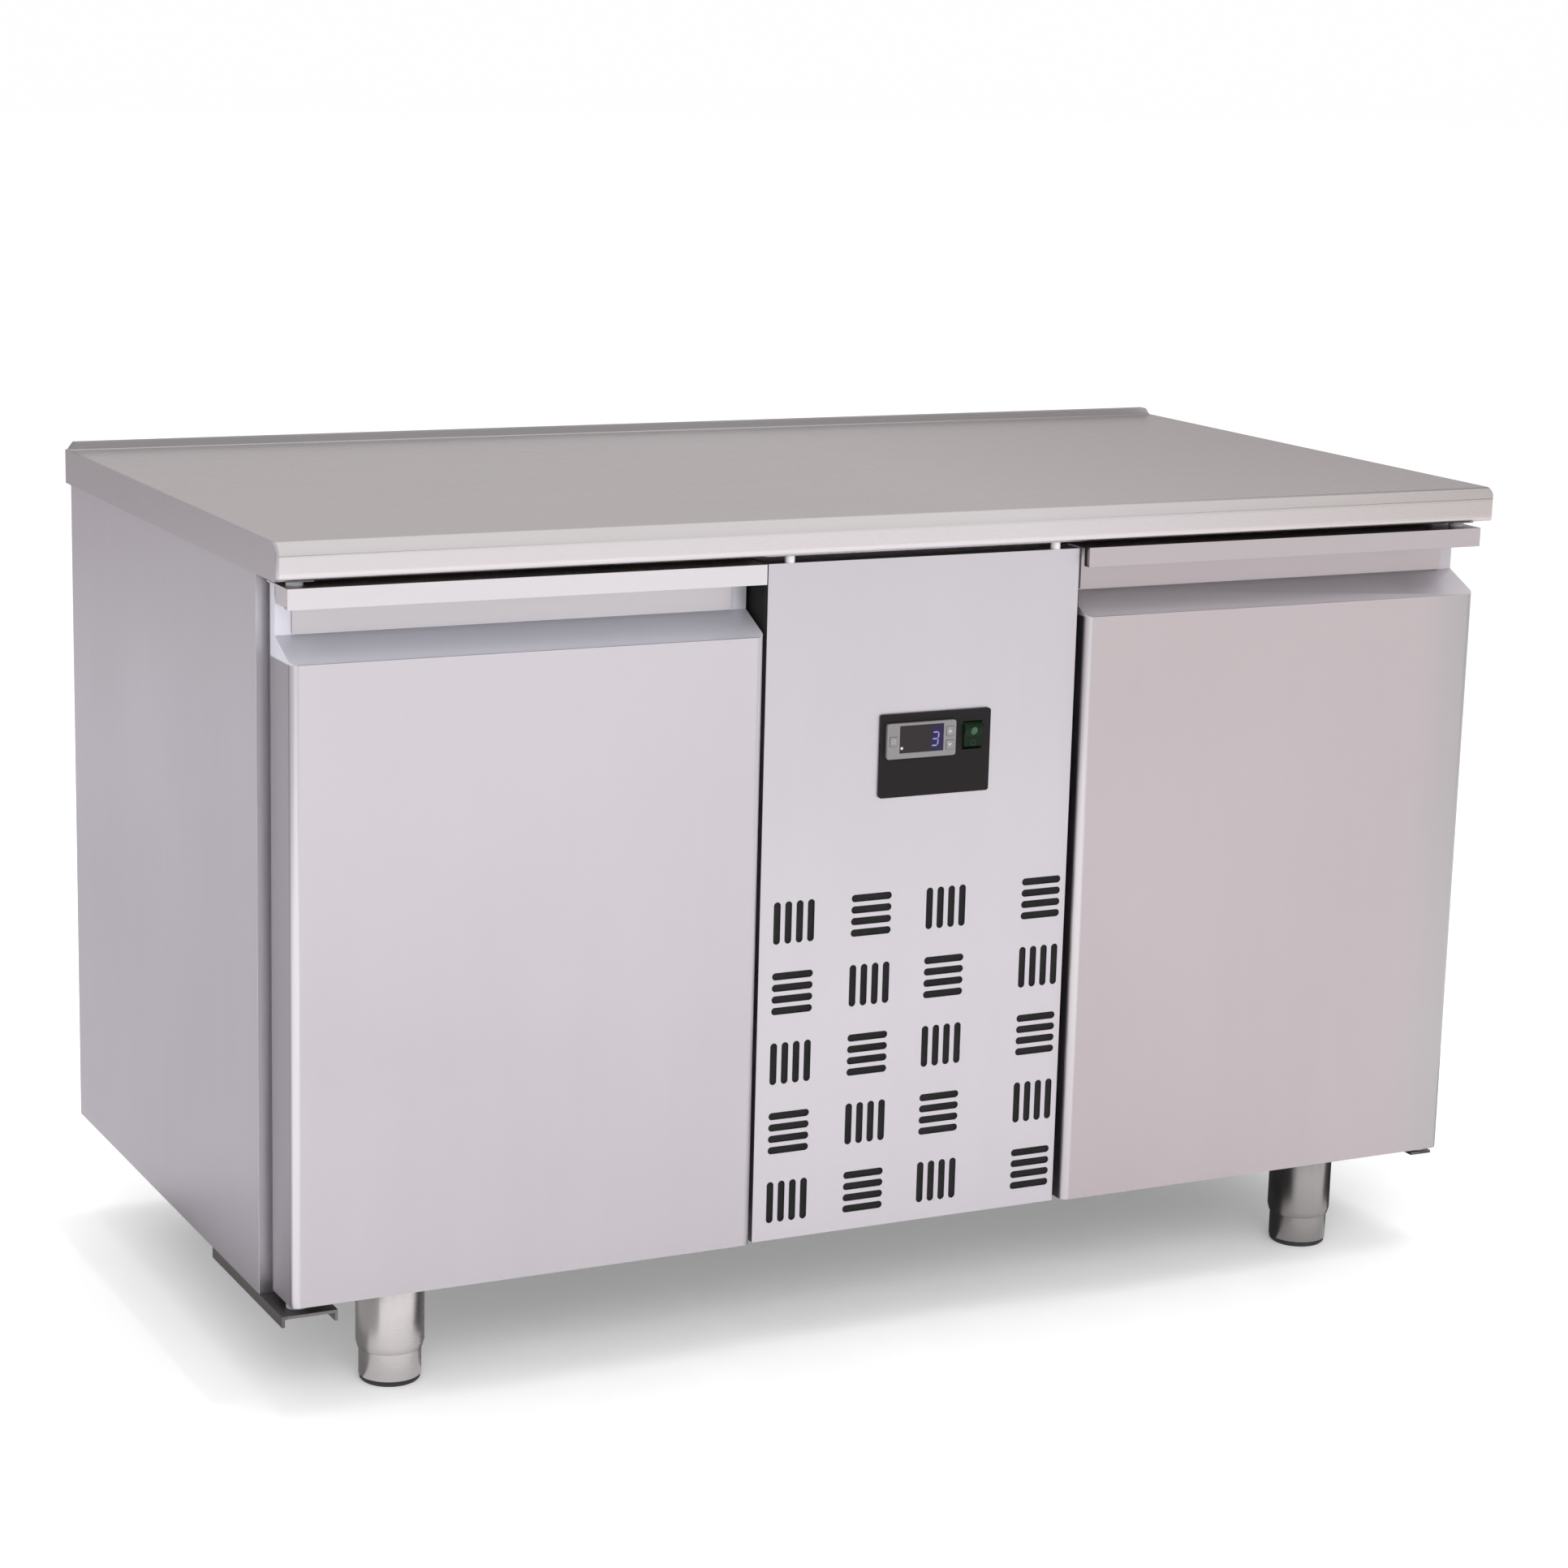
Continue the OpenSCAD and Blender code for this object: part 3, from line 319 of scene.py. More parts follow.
NODE_MATERIAL = {
    "worktop_sheet": "top_steel", "worktop_core": "board", "dust_filter": "filter_foam",
    "left_side_panel": "side_steel", "right_side_panel": "side_steel", "back_panel": "galvanised",
    # gap_strip is a black sheet that paints the shadow in the gap under the worktop
    "base_panel": "galvanised", "front_frame": "frame_steel", "gap_strip": "shadow_black",
    "left_liner": "liner_steel", "right_liner": "liner_steel", "left_insulation": "foam",
    "right_insulation": "foam", "shelf_runners": "liner_steel", "left_shelf": "rod_steel",
    "right_shelf": "rod_steel", "hinge_brackets": "bracket_steel", "leg_sleeves": "leg_steel",
    "unit_panel": "panel_steel", "panel_spacers": "nylon", "control_bezel": "black_plastic",
    "controller_body": "grey_plastic", "display_window": "window", "key_set": "key_plastic",
    "key_up": "key_plastic", "key_down": "key_plastic", "switch_housing": "black_plastic",
    "power_switch": "rocker", "unit_tray": "galvanised", "compressor": "black_paint",
    "condenser_coil": "fins", "fan_shroud": "grey_paint", "fan_motors": "black_paint",
    "condenser_fan": "fan_plastic", "evaporator_housing": "white_plastic",
    "evaporator_coil": "fins", "evaporator_fan": "fan_plastic", "condensate_tray": "tray_plastic",
    "refrigerant_pipes": "copper", "cable_gland": "black_plastic",
}
for side in ("left", "right"):
    NODE_MATERIAL.update({
        f"{side}_door_skin": f"{side}_door_steel", f"{side}_door_foam": "foam",
        f"{side}_door_liner": "white_plastic", f"{side}_door_gasket": "gasket",
        f"{side}_door_grip": f"{side}_grip_steel", f"{side}_door_bushes": "bush_nylon"})
CORNERS = ("front_left", "front_right", "rear_left", "rear_right")
for corner in CORNERS:
    NODE_MATERIAL[f"foot_{corner}"] = "leg_steel"
    NODE_MATERIAL[f"pad_{corner}"] = "pad"

for name, obj in nodes.items():
    for material_slot in obj.material_slots:
        material_slot.material = M[NODE_MATERIAL[name]]

# ---------------------------------------------------------------- camera, floor and light

CAMERA_AT = (-1.7371, -3.4822, 1.3572)
AZIMUTH, ELEVATION, ROLL = (math.radians(a) for a in (26.7299, -12.349, 1.5102))
FOCAL_SHARE = 4507.35 / 1932                 # focal length over the picture's width
SENSOR = 36.0

camera = bpy.data.objects.new("camera", bpy.data.cameras.new("camera"))
scene.collection.objects.link(camera)
forward = Vector((math.sin(AZIMUTH) * math.cos(ELEVATION),
                  math.cos(AZIMUTH) * math.cos(ELEVATION), math.sin(ELEVATION)))
right = forward.cross(Vector((0, 0, 1))).normalized()
up = right.cross(forward)
across = right * math.cos(ROLL) + up * math.sin(ROLL)
upright = up * math.cos(ROLL) - right * math.sin(ROLL)
turn = Matrix((across, upright, -forward)).transposed()
camera.matrix_world = Matrix.Translation(CAMERA_AT) @ turn.to_4x4()
camera.data.sensor_width = SENSOR
camera.data.lens = SENSOR * FOCAL_SHARE
camera.data.clip_end = 200.0
scene.camera = camera
scene.view_settings.view_transform = "Standard"

world = bpy.data.worlds.new("studio")
world.use_nodes = True
background = world.node_tree.nodes["Background"]
background.inputs["Color"].default_value = (1.0, 0.995, 1.0, 1.0)
background.inputs["Strength"].default_value = 1.0
scene.world = world


def plane(name, size, at, turn=(0, 0, 0)):
    """A staged rectangle, in metres, turned by degrees."""
    mesh = bpy.data.meshes.new(name)
    x, y = size[0] / 2, size[1] / 2
    mesh.from_pydata([(-x, -y, 0), (x, -y, 0), (x, y, 0), (-x, y, 0)], [], [(0, 1, 2, 3)])
    obj = bpy.data.objects.new(name, mesh)
    obj.location = at
    obj.rotation_euler = [math.radians(a) for a in turn]
    scene.collection.objects.link(obj)
    return obj


FLOOR_SIZE = (60, 60)
FLOOR_GLOW = 0.2                             # lifts the floor to the photo's white
floor = plane("floor", FLOOR_SIZE, (0, 0, 0))
floor_material = coated("pale floor", (0.86, 0.855, 0.86), 0.6, 40.0, 0.02, tint=0.01)
floor_shader = floor_material.node_tree.nodes["Principled BSDF"]
floor_shader.inputs["Emission Color"].default_value = (1, 1, 1, 1)
floor_shader.inputs["Emission Strength"].default_value = FLOOR_GLOW
floor.data.materials.append(floor_material)


def card(name, size, at, turn, grey):
    """A grey studio flag: it shows only in the steel's reflections."""
    obj = plane(name, size, at, turn)
    t = Tree(name)
    t.link(Base_Color=(0, 0, 0, 1), Roughness=1.0, Emission_Color=rgba(grey), Emission_Strength=1.0)
    obj.data.materials.append(t.material)
    obj.visible_camera = False
    obj.visible_shadow = False
    obj.visible_diffuse = False


card("back_flag", (14, 4.5), (0, 4.5, 2.25), (90, 0, 0), (0.55, 0.52, 0.53))
card("left_flag", (14, 4.5), (-5.0, 2.5, 2.25), (90, 0, 90), (0.65, 0.64, 0.66))
card("left_floor_flag", (4.0, 6.0), (-3.0, 2.8, 0.002), (0, 0, 0), (0.83, 0.81, 0.84))
card("near_floor_flag", (1.3, 2.6), (-1.37, 1.0, 0.003), (0, 0, 0), (0.76, 0.74, 0.77))
card("under_flag", (1.95, 0.60), (0.175, 0.03, 0.004), (0, 0, 0), (0.06, 0.056, 0.055))

# Upright flags beside and behind the front legs and a flag on the floor behind each, which
# darken the tubes' sides. A leg's greys are for the flags before, behind and beyond it.
LEG_FLAG_HEIGHT, LEG_FLAG_MID_Z = 0.1, 0.054
SIDE_FLAG_X, SIDE_FLAG_Y, SIDE_FLAG_LENGTH = 0.13, 0.06, 0.30
BEHIND_FLAG_X, BEHIND_FLAG_Y, BEHIND_FLAG_LENGTH = 0.0225, 0.0447, 0.24
BELOW_FLAG_SIZE, BELOW_FLAG_Y, BELOW_FLAG_Z = (0.26, 0.23), 0.115, 0.0045
LEG_GREYS = {"left": (0.42, 0.2, 0.08), "right": (0.02, 0.05, 0.04)}
for name, (before, behind, beyond) in LEG_GREYS.items():
    foot_low, foot_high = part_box(f"foot_front_{name}")
    foot = (foot_low + foot_high) / 2
    for label, grey, x, y, length, turn_z in (
            ("before", before, -SIDE_FLAG_X, SIDE_FLAG_Y, SIDE_FLAG_LENGTH, 90),
            ("behind", behind, BEHIND_FLAG_X, BEHIND_FLAG_Y, BEHIND_FLAG_LENGTH,
             -math.degrees(AZIMUTH)),
            ("beyond", beyond, SIDE_FLAG_X, SIDE_FLAG_Y, SIDE_FLAG_LENGTH, 90)):
        card(f"{name}_leg_flag_{label}", (length, LEG_FLAG_HEIGHT),
             (foot.x + x, foot.y + y, LEG_FLAG_MID_Z), (90, 0, turn_z), (grey, grey, grey))
    card(f"{name}_leg_flag_below", BELOW_FLAG_SIZE, (foot.x, foot.y + BELOW_FLAG_Y, BELOW_FLAG_Z),
         (0, 0, 0), (behind, behind, behind))


def area(name, size, at, target, power, colour=(1, 1, 1)):
    """A soft rectangular light that aims at a target and doesn't show in reflections."""
    data = bpy.data.lights.new(name, "AREA")
    data.shape = "RECTANGLE"
    data.size, data.size_y = size
    data.energy = power
    data.color = colour
    obj = bpy.data.objects.new(name, data)
    obj.location = at
    obj.rotation_euler = (Vector(target) - Vector(at)).to_track_quat("-Z", "Y").to_euler()
    obj.visible_glossy = False
    scene.collection.objects.link(obj)


area("key_light", (3.0, 2.0), (-1.5, -4.5, 3.4), (0, 0, 0.4), power=90, colour=(1.0, 0.99, 1.0))
area("top_light", (4.0, 3.0), (0.5, 0.2, 4.2), (0, 0, 0), power=70)

# ---------------------------------------------------------------- piece helpers

WELD_DISTANCE = 1e-7       # metres
MODIFIER_WELD = 1e-6
BEVEL_FROM = 30            # only edges sharper than this many degrees are rounded


def finish_piece(name, bm, material, body, smooth):
    """Makes the object, smooth below an angle in degrees, and lets it ride on its body."""
    mesh = bpy.data.meshes.new(name)
    bmesh.ops.remove_doubles(bm, verts=bm.verts, dist=WELD_DISTANCE)
    bmesh.ops.recalc_face_normals(bm, faces=bm.faces)
    bm.to_mesh(mesh)
    bm.free()
    obj = bpy.data.objects.new(name, mesh)
    scene.collection.objects.link(obj)
    mesh.materials.append(M[material])
    if smooth:
        mesh.polygons.foreach_set("use_smooth", [True] * len(mesh.polygons))
        mesh.set_sharp_from_angle(angle=math.radians(smooth))
    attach(obj, body)


def add_box(bm, low, high, bevel):
    """A box between two corners in millimetres, its edges rounded."""
    low, high = Vector(low) * MM, Vector(high) * MM
    made = bmesh.ops.create_cube(bm, size=1.0)
    size = high - low
    for v in made["verts"]:
        v.co = Vector([low[i] + (v.co[i] + 0.5) * size[i] for i in range(3)])
    edges = list({e for v in made["verts"] for e in v.link_edges})
    bmesh.ops.bevel(bm, geom=edges, offset=bevel * MM, segments=2, affect="EDGES", profile=0.5,
                    clamp_overlap=True)


def circle(middle, r, steps):
    """Points of an upright circle that faces along Y, in millimetres."""
    x, y, z = middle
    angles = [2 * math.pi * i / steps for i in range(steps)]
    return [(x + r * math.cos(a), y, z + r * math.sin(a)) for a in angles]


def add_lathe(bm, profile, at, axis="Z", steps=32):
    """Turns a profile of (radius, height) in millimetres about the Y or Z axis through a point."""
    at = Vector(at) * MM
    turn = Matrix.Rotation(math.radians(-90), 3, "X") if axis == "Y" else Matrix.Identity(3)
    rings = []
    for r, h in profile:
        if r <= 0:
            rings.append([bm.verts.new(at + turn @ Vector((0, 0, h * MM)))])
            continue
        rings.append([bm.verts.new(at + turn @ Vector((
            r * MM * math.cos(2 * math.pi * i / steps),
            r * MM * math.sin(2 * math.pi * i / steps), h * MM))) for i in range(steps)])
    for a, b in zip(rings, rings[1:]):
        for i in range(steps):
            j = (i + 1) % steps
            quad = [a[i % len(a)], a[j % len(a)], b[j % len(b)], b[i % len(b)]]
            quad = list(dict.fromkeys(quad))
            if len(quad) > 2:
                bm.faces.new(quad)


def add_tube(bm, points, radius, steps=10, closed=False):
    """A round tube along points in millimetres."""
    pts = [Vector(p) * MM for p in points]
    n = len(pts)
    rings, side_dir = [], None
    for i, p in enumerate(pts):
        before = pts[(i - 1) % n] if closed or i else pts[0]
        after = pts[(i + 1) % n] if closed or i < n - 1 else pts[-1]
        ahead = (after - before).normalized()
        if side_dir is None:
            side_dir = ahead.orthogonal().normalized()
        side_dir = (side_dir - ahead * side_dir.dot(ahead)).normalized()
        other = ahead.cross(side_dir)
        angles = [2 * math.pi * k / steps for k in range(steps)]
        rings.append([bm.verts.new(p + radius * MM * (side_dir * math.cos(a) + other * math.sin(a)))
                      for a in angles])
    last = n if closed else n - 1
    for i in range(last):
        a, b = rings[i], rings[(i + 1) % n]
        for k in range(steps):
            m = (k + 1) % steps
            bm.faces.new((a[k], a[m], b[m], b[k]))
    if not closed:
        bm.faces.new(rings[0])
        bm.faces.new(list(reversed(rings[-1])))


def soft_edges(name, width, segments=2):
    """Rounds the edges of a CAD node by a modifier; its own mesh stays as it is."""
    obj = nodes[name]
    weld = obj.modifiers.new("weld", "WELD")
    weld.merge_threshold = MODIFIER_WELD
    bevel = obj.modifiers.new("edges", "BEVEL")
    bevel.width = width * MM
    bevel.segments = segments
    bevel.limit_method = "ANGLE"
    bevel.angle_limit = math.radians(BEVEL_FROM)
    bevel.use_clamp_overlap = True
    bevel.harden_normals = True


# ---------------------------------------------------------------- edges of the CAD sheets

# Edge roundings in millimetres
SHEET_EDGE, PART_EDGE, LINER_EDGE, SOFT_EDGE, FOOT_EDGE, KEY_EDGE = 0.35, 0.6, 2.0, 1.2, 1.0, 0.4
for name in ("left_door_grip", "right_door_grip", "left_door_skin", "right_door_skin",
             "left_side_panel", "right_side_panel", "hinge_brackets", "back_panel"):
    soft_edges(name, SHEET_EDGE)
for name in ("worktop_sheet", "control_bezel", "controller_body", "leg_sleeves"):
    soft_edges(name, PART_EDGE)
for name in ("left_door_liner", "right_door_liner"):
    soft_edges(name, LINER_EDGE, 3)
for name in ("left_door_gasket", "right_door_gasket", "compressor"):
    soft_edges(name, SOFT_EDGE, 3)
for corner in CORNERS:
    soft_edges(f"foot_{corner}", FOOT_EDGE, 3)
for name in ("key_set", "key_up", "key_down", "power_switch"):
    soft_edges(name, KEY_EDGE, 3)

# ---------------------------------------------------------------- controls


def mm_box(name):
    """The two corners of a node's box, in millimetres."""
    low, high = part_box(name)
    return low / MM, high / MM


window_low = mm_box("display_window")[0]
window_y = window_low.y
BAR_WIDTH, BAR_THICK = 1.5, 0.08             # of a digit's bars


def segment(bm, a, b, y):
    """One bar of a lit digit, with pointed ends, from a to b in X and Z."""
    a, b = Vector(a), Vector(b)
    along = (b - a).normalized()
    side_way = Vector((-along.y, along.x)) * BAR_WIDTH / 2
    tip = along * BAR_WIDTH / 2
    outline = [a, a + tip + side_way, b - tip + side_way, b, b - tip - side_way, a + tip - side_way]
    front = [bm.verts.new(Vector((p.x, y - BAR_THICK, p.y)) * MM) for p in outline]
    back = [bm.verts.new(Vector((p.x, y, p.y)) * MM) for p in outline]
    bm.faces.new(front)
    bm.faces.new(list(reversed(back)))
    for i in range(6):
        j = (i + 1) % 6
        bm.faces.new((front[i], back[i], back[j], front[j]))


DIGIT_AT = (8.2, 614.8)                      # X and Z of its lower left corner
DIGIT_W, DIGIT_H, DIGIT_LEAN = 7.0, 13.5, 0.1
GAP = 0.06                                   # between a digit's bars, as a share of its width or height


def digit_point(u, v):
    """A point of the leaning digit, from its share of the width and of the height."""
    return (DIGIT_AT[0] + u * DIGIT_W + v * DIGIT_H * DIGIT_LEAN, DIGIT_AT[1] + v * DIGIT_H)


bm = bmesh.new()
for a, b in (((GAP, 1), (1 - GAP, 1)), ((GAP, 0.5), (1 - GAP, 0.5)), ((GAP, 0), (1 - GAP, 0)),
             ((1, 0.5 + GAP / 2), (1, 1 - GAP / 2)), ((1, GAP / 2), (1, 0.5 - GAP / 2))):
    segment(bm, digit_point(*a), digit_point(*b), window_y)
finish_piece("display_digit", bm, "digit", "cabinet", 0)

INDICATOR_IN, INDICATOR_UP = 2.6, 5.0
indicator_at = (window_low.x + INDICATOR_IN, window_y, window_low.z + INDICATOR_UP)
bm = bmesh.new()
add_lathe(bm, [(0, -0.28), (0.9, -0.22), (1.5, 0)], indicator_at, "Y", 20)
finish_piece("display_indicator", bm, "mark_white", "cabinet", 60)

ARROW_HALF, ARROW_BASE, ARROW_TIP = 2.2, 1.5, 2.0
MARK_THICK = 0.05          # how far a printed mark stands out, and sinks in
for name, way in (("key_up", 1), ("key_down", -1)):
    low, high = mm_box(name)
    mid = (low + high) / 2
    bm = bmesh.new()
    shape = [(-ARROW_HALF, -ARROW_BASE * way), (ARROW_HALF, -ARROW_BASE * way), (0, ARROW_TIP * way)]
    front = [bm.verts.new(Vector((mid.x + u, low.y - MARK_THICK, mid.z + w)) * MM) for u, w in shape]
    back = [bm.verts.new(Vector((mid.x + u, low.y + MARK_THICK, mid.z + w)) * MM) for u, w in shape]
    bm.faces.new(front)
    bm.faces.new(back)
    for i in range(3):
        bm.faces.new((front[i], front[(i + 1) % 3], back[(i + 1) % 3], back[i]))
    finish_piece(f"{name}_mark", bm, "mark_grey", name, 0)

low, high = mm_box("key_set")
mid = (low + high) / 2
bm = bmesh.new()
add_tube(bm, circle((mid.x, low.y, mid.z), 1.9, 24), 0.3, 8, closed=True)
finish_piece("key_set_mark", bm, "mark_grey", "key_set", 60)

# Lens and ring mark on the rocker's two flats, which lean with its on position
rocker_low, rocker_high = mm_box("power_switch")
panel_front = mm_box("unit_panel")[0].y
PIVOT_DEPTH, RIDGE_OUT = 3, 8.5              # of the rocker's pivot, and of the ridge before it
FLAT_FALL, FLAT_LENGTH = 3, 14               # of each of its two flats
ROCKER_LEAN = 8
LENS_UP, RING_DOWN = 6.2, -6.4
LENS_STRETCH = 1.25
ROCKER_AT = Vector(((rocker_low.x + rocker_high.x) / 2, panel_front + PIVOT_DEPTH,
                    (rocker_low.z + rocker_high.z) / 2))
lean = Matrix.Rotation(math.radians(ROCKER_LEAN), 3, "X")
flat_up = Matrix.Rotation(math.atan2(FLAT_FALL, FLAT_LENGTH), 3, "X")
flat_down = Matrix.Rotation(-math.atan2(FLAT_FALL, FLAT_LENGTH), 3, "X")


def on_rocker(bm, flat, start_z):
    """Moves what was built round the origin, facing -Y, onto one of the rocker's flats."""
    place = Vector((0, -RIDGE_OUT, 0)) + flat @ Vector((0, 0, start_z))
    for v in bm.verts:
        v.co = (ROCKER_AT + lean @ (place + flat @ (v.co / MM))) * MM


bm = bmesh.new()
add_lathe(bm, [(0, -0.9), (2.6, -0.6), (3.6, 0.0), (3.6, 0.4)], (0, 0, 0), "Y", 28)
for v in bm.verts:
    v.co.z *= LENS_STRETCH
on_rocker(bm, flat_up, LENS_UP)
finish_piece("rocker_lens", bm, "mark_green", "power_switch", 50)
bm = bmesh.new()
add_tube(bm, circle((0, -MARK_THICK, 0), 2.6, 28), 0.35, 8, closed=True)
on_rocker(bm, flat_down, RING_DOWN)
finish_piece("rocker_ring_mark", bm, "mark_faint", "power_switch", 60)

# ---------------------------------------------------------------- screws and small hardware


def add_screw(bm, at, way, r=3.6, axis="Y", head=1.5):
    """A pan-head screw with a round socket; way is the side its head stands out to."""
    profile = [(0, 0.35 * head), (0.42 * r, 0.35 * head), (0.46 * r, 0.9 * head), (0.72 * r, head),
               (0.93 * r, 0.6 * head), (r, 0.1 * head), (r, -0.1)]
    add_lathe(bm, [(a, way * h) for a, h in profile], at, axis, 20)


back_low, back_high = mm_box("back_panel")
COLUMNS, SIDE_INSET, ROW_INSET = 7, 20, 14
SIDE_SCREWS_UP = (240, 470)
bm = bmesh.new()
for i in range(COLUMNS):
    x = back_low.x + SIDE_INSET + i * (back_high.x - back_low.x - 2 * SIDE_INSET) / (COLUMNS - 1)
    for z in (back_low.z + ROW_INSET, back_high.z - ROW_INSET):
        add_screw(bm, (x, back_high.y, z), 1)
for up in SIDE_SCREWS_UP:
    for x in (back_low.x + SIDE_INSET, back_high.x - SIDE_INSET):
        add_screw(bm, (x, back_high.y, back_low.z + up), 1)
finish_piece("back_panel_screws", bm, "screw_steel", "cabinet", 40)

# Screws that hold the lower brackets, seen from below
BRACKET_SCREW_X, BRACKET_SCREW_YS, BRACKET_UNDERSIDE = 656, (-250, -200, -150), 105
bm = bmesh.new()
for x in (-BRACKET_SCREW_X, BRACKET_SCREW_X):
    for y in BRACKET_SCREW_YS:
        add_screw(bm, (x, y, BRACKET_UNDERSIDE), -1, 4.5, "Z", 2.4)
finish_piece("bracket_screws", bm, "screw_steel", "cabinet", 40)

# ---------------------------------------------------------------- door gaskets and liners

RIB_INSETS, RIB_R, RIB_SINK, RIB_CORNER = (4.5, 10.5), 1.25, 1.0, 5.0
for side in ("left", "right"):
    low, high = mm_box(f"{side}_door_gasket")
    bm = bmesh.new()
    for inset in RIB_INSETS:
        near_x, far_x = low.x + inset + RIB_CORNER, high.x - inset - RIB_CORNER
        near_z, far_z = low.z + inset + RIB_CORNER, high.z - inset - RIB_CORNER
        points = []
        for x, z, start in ((far_x, far_z, 0), (near_x, far_z, 90), (near_x, near_z, 180),
                            (far_x, near_z, 270)):
            for degrees in (0, 30, 60, 90):
                a = math.radians(start + degrees)
                points.append((x + RIB_CORNER * math.cos(a), high.y - RIB_SINK,
                               z + RIB_CORNER * math.sin(a)))
        add_tube(bm, points, RIB_R, 10, closed=True)
    finish_piece(f"{side}_gasket_ribs", bm, "gasket", f"{side}_door", 60)

LINER_SHEET = 0.8
COVE, COVE_STEPS, COVE_START = 12.0, 8, 1.0


def add_cove(bm, corner, end, into_a, into_b):
    """A hollow corner strip from one corner of the lined space to another."""
    angles = [math.radians(90 / COVE_STEPS * k) for k in range(COVE_STEPS + 1)]
    outline = [Vector((0, 0))]
    outline += [Vector((COVE * (1 - math.sin(a)), COVE * (1 - math.cos(a)))) for a in angles]
    rings = [[bm.verts.new((Vector(at) + Vector(into_a) * p.x + Vector(into_b) * p.y) * MM)
              for p in outline] for at in (corner, end)]
    bm.faces.new(rings[0])
    bm.faces.new(list(reversed(rings[1])))
    for i in range(len(outline)):
        j = (i + 1) % len(outline)
        bm.faces.new((rings[0][i], rings[1][i], rings[1][j], rings[0][j]))


for side in ("left", "right"):
    low, high = mm_box(f"{side}_liner")
    low += Vector((LINER_SHEET, 0, LINER_SHEET))
    high -= Vector((LINER_SHEET, LINER_SHEET, LINER_SHEET))
    front = low.y + COVE_START
    bm = bmesh.new()
    for x, into_x in ((low.x, (1, 0, 0)), (high.x, (-1, 0, 0))):
        for z, into_z in ((low.z, (0, 0, 1)), (high.z, (0, 0, -1))):
            add_cove(bm, (x, front, z), (x, high.y, z), into_x, into_z)
        add_cove(bm, (x, high.y, low.z), (x, high.y, high.z), into_x, (0, -1, 0))
    for z, into_z in ((low.z, (0, 0, 1)), (high.z, (0, 0, -1))):
        add_cove(bm, (low.x, high.y, z), (high.x, high.y, z), (0, -1, 0), into_z)
    finish_piece(f"{side}_liner_coves", bm, "liner_steel", "cabinet", 30)

# ---------------------------------------------------------------- centre panel and lip details

panel_low, panel_high = mm_box("unit_panel")
frame_front = mm_box("front_frame")[0].y
# Black strips beside the centre panel paint the shade in its gaps to the doors
SHADE_STRIP, SHADE_STRIP_CLEAR, SHADE_STRIP_SETBACK, SHADE_STRIP_EDGE = 2.2, 0.05, 2.0, 0.5
strip_front, strip_back = panel_low.y + SHADE_STRIP_SETBACK, frame_front - 1
bm = bmesh.new()
for x in (panel_low.x - SHADE_STRIP, panel_high.x + SHADE_STRIP_CLEAR):
    add_box(bm, (x, strip_front, FACE_TOP / MM), (x + SHADE_STRIP - SHADE_STRIP_CLEAR, strip_back, panel_high.z),
            SHADE_STRIP_EDGE)
finish_piece("panel_side_shade_strips", bm, "shadow_black", "cabinet", 40)

# Plugs that close the inner ends of the two lips
PLUG_LENGTH, PLUG_SETBACK, PLUG_EDGE = 3.0, 0.05, 0.12
PLUG_FRONT, PLUG_BACK = 1.9, 10.0            # behind the lip's front
PLUG_LOW, PLUG_HIGH = 18.1, 1.9              # below the lip's top
for side, way in (("left", 1), ("right", -1)):
    low, high = mm_box(f"{side}_door_grip")
    inner = high.x if way > 0 else low.x
    span = sorted((inner - way * PLUG_LENGTH, inner - way * PLUG_SETBACK))
    bm = bmesh.new()
    add_box(bm, (span[0], low.y + PLUG_FRONT, high.z - PLUG_LOW),
            (span[1], low.y + PLUG_BACK, high.z - PLUG_HIGH), PLUG_EDGE)
    finish_piece(f"{side}_lip_plug", bm, f"{side}_grip_steel", f"{side}_door", 40)

# ---------------------------------------------------------------- condensing unit details

fan_low, fan_high = mm_box("condenser_fan")
fan_mid = (fan_low + fan_high) / 2
guard_y = mm_box("fan_shroud")[1].y + 1.0
GUARD_RINGS, RING_WIRE = (50, 62, 74, 86, 98, 110), 1.1
SPOKES, SPOKE_RADII, SPOKE_WIRE, SPOKE_BEHIND = 8, (46, 80, 113), 1.3, 1.9
bm = bmesh.new()
for r in GUARD_RINGS:
    add_tube(bm, circle((fan_mid.x, guard_y, fan_mid.z), r, 64), RING_WIRE, 8, closed=True)
for i in range(SPOKES):
    a = 2 * math.pi * (i + 0.5) / SPOKES
    spoke = [(fan_mid.x + r * math.cos(a), guard_y + SPOKE_BEHIND, fan_mid.z + r * math.sin(a))
             for r in SPOKE_RADII]
    add_tube(bm, spoke, SPOKE_WIRE, 8)
finish_piece("condenser_fan_guard", bm, "rod_steel", "cabinet", 60)

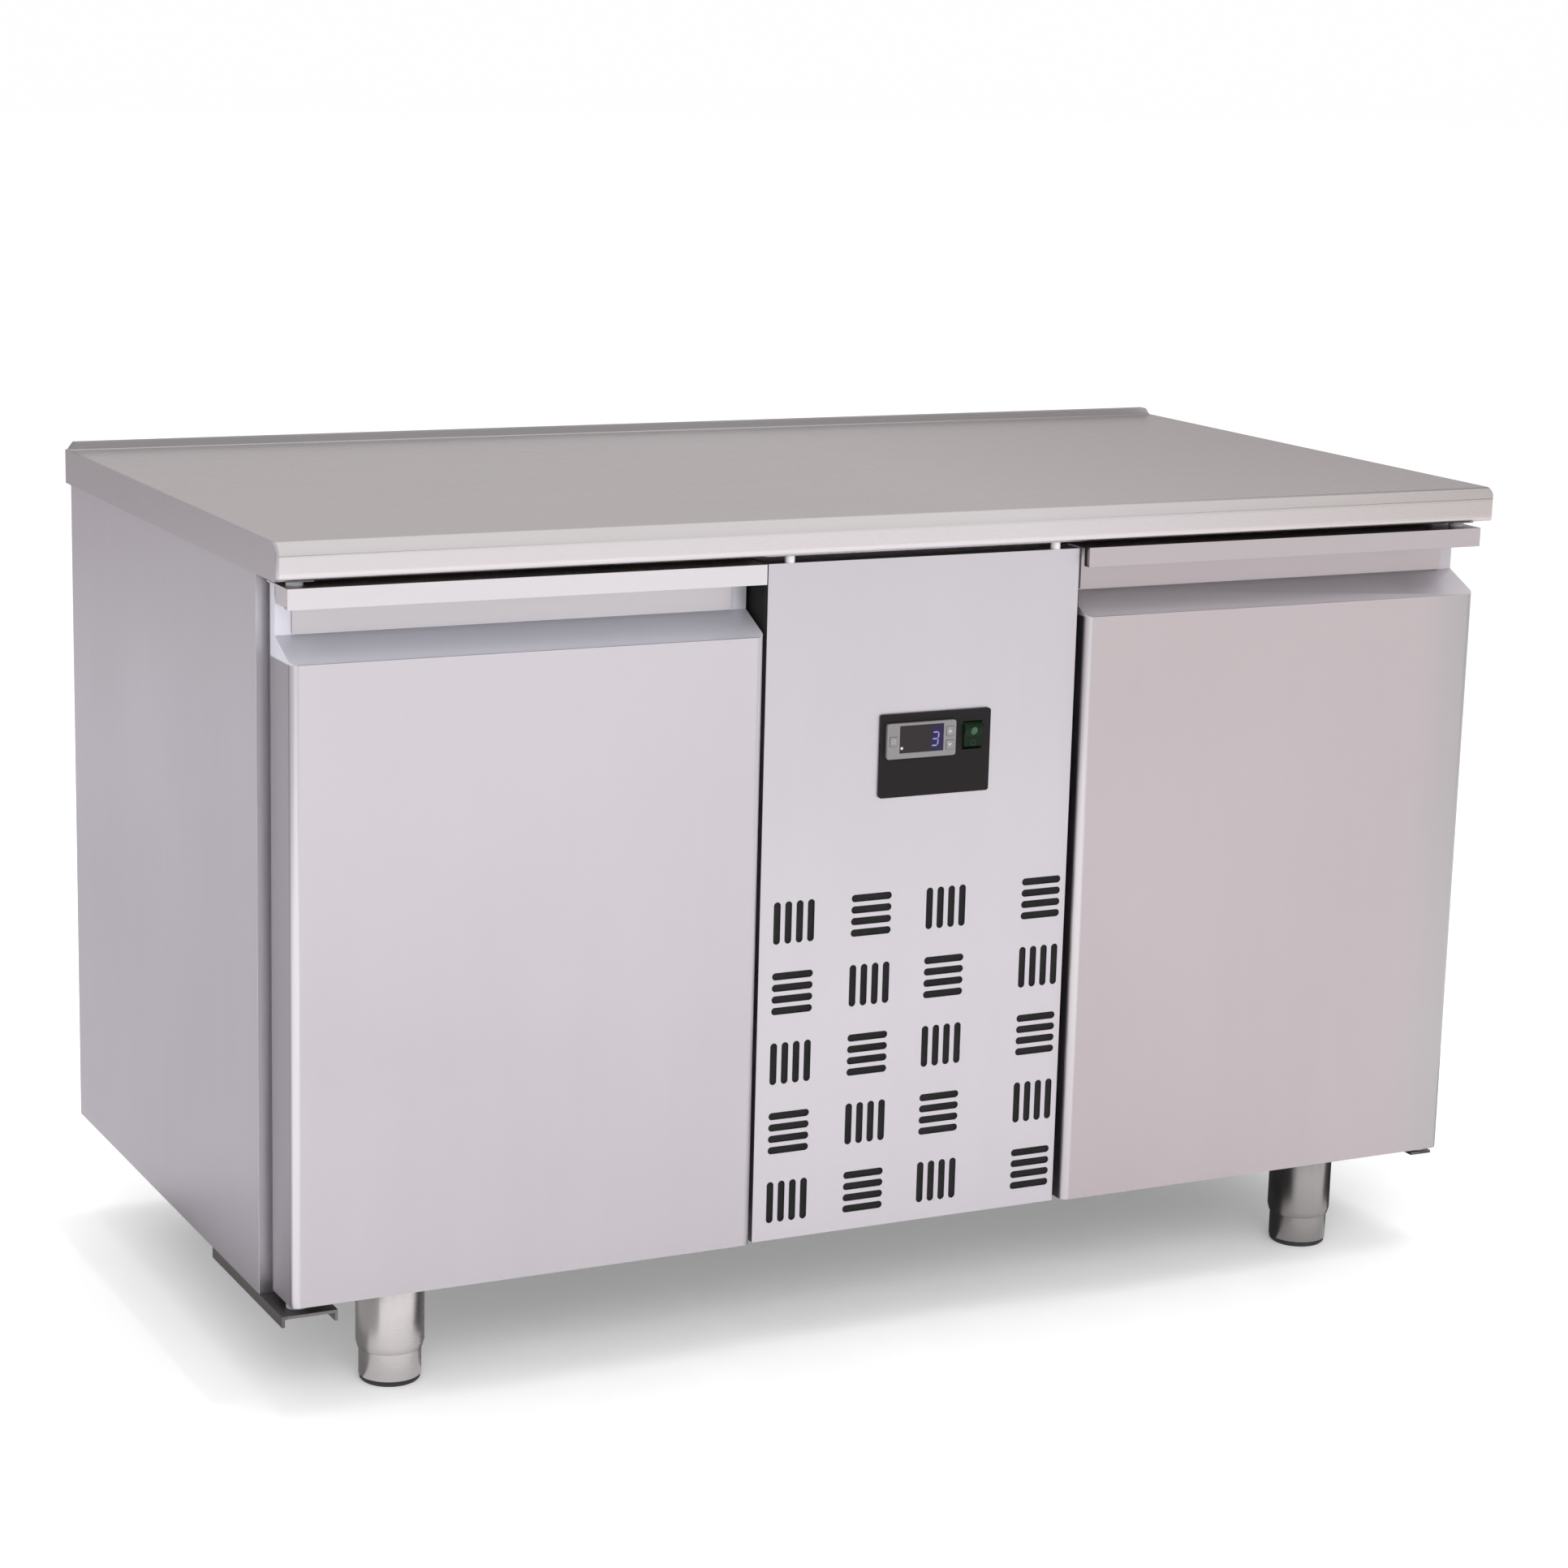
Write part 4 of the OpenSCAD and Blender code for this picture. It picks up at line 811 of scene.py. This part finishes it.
# The compressor's welded seam and filling tube, then the nuts on its four feet
can_low, can_high = mm_box("compressor")
CAN_X, CAN_Y, CAN_R = -62, 130, 78.0
SEAM_PROFILE = ((-1, -3.2), (1.6, -2.6), (2.6, 0), (1.6, 2.6), (-1, 3.2))
TUBE_OFFSET, TUBE_BEND = 40, 4
FOOT_X, FOOT_Y, FOOT_UP = 62, 52, 40
seam_z = (can_low.z + can_high.z) / 2 + 10
tube_x, tube_y = CAN_X - TUBE_OFFSET, CAN_Y - TUBE_OFFSET
bm = bmesh.new()
add_lathe(bm, [(CAN_R + out, h) for out, h in SEAM_PROFILE], (CAN_X, CAN_Y, seam_z), "Z", 64)
add_tube(bm, [(tube_x, tube_y, can_high.z - 9), (tube_x, tube_y, can_high.z + 22),
              (tube_x - TUBE_BEND, tube_y - TUBE_BEND, can_high.z + 34)], 3.2, 12)
finish_piece("compressor_seam", bm, "black_paint", "cabinet", 40)
NUT_PROFILE = [(0, 5.5), (4.6, 5.5), (5.2, 5.0), (5.2, 1.2), (9.0, 1.2), (9.0, -0.3)]
bm = bmesh.new()
for x in (CAN_X - FOOT_X, CAN_X + FOOT_X):
    for y in (CAN_Y - FOOT_Y, CAN_Y + FOOT_Y):
        add_lathe(bm, NUT_PROFILE, (x, y, can_low.z + FOOT_UP), "Z", 6)
finish_piece("compressor_nuts", bm, "screw_steel", "cabinet", 30)

# A drier round the liquid pipe and lagging round the suction pipe
DRIER_AT = (150.0, -40.0, 300.0)
DRIER_PROFILE = [(4.1, -52), (5.2, -50), (6.0, -44), (10.5, -36), (11, -33), (11, 33), (10.5, 36),
                 (6.0, 44), (5.2, 50), (4.1, 52)]
SUCTION_X, SUCTION_Y, SUCTION_Z = CAN_X - 20, 150, 452
LAGGING_R = 8.5
bm = bmesh.new()
add_lathe(bm, DRIER_PROFILE, DRIER_AT, "Z", 28)
finish_piece("filter_drier", bm, "copper", "cabinet", 40)
bm = bmesh.new()
add_tube(bm, [(SUCTION_X, y, SUCTION_Z) for y in (250, 240, 160)], LAGGING_R, 16)
add_tube(bm, [(SUCTION_X, SUCTION_Y, z) for z in (444, 380, can_high.z + 10)], LAGGING_R, 16)
finish_piece("suction_lagging", bm, "insulation_tube", "cabinet", 50)
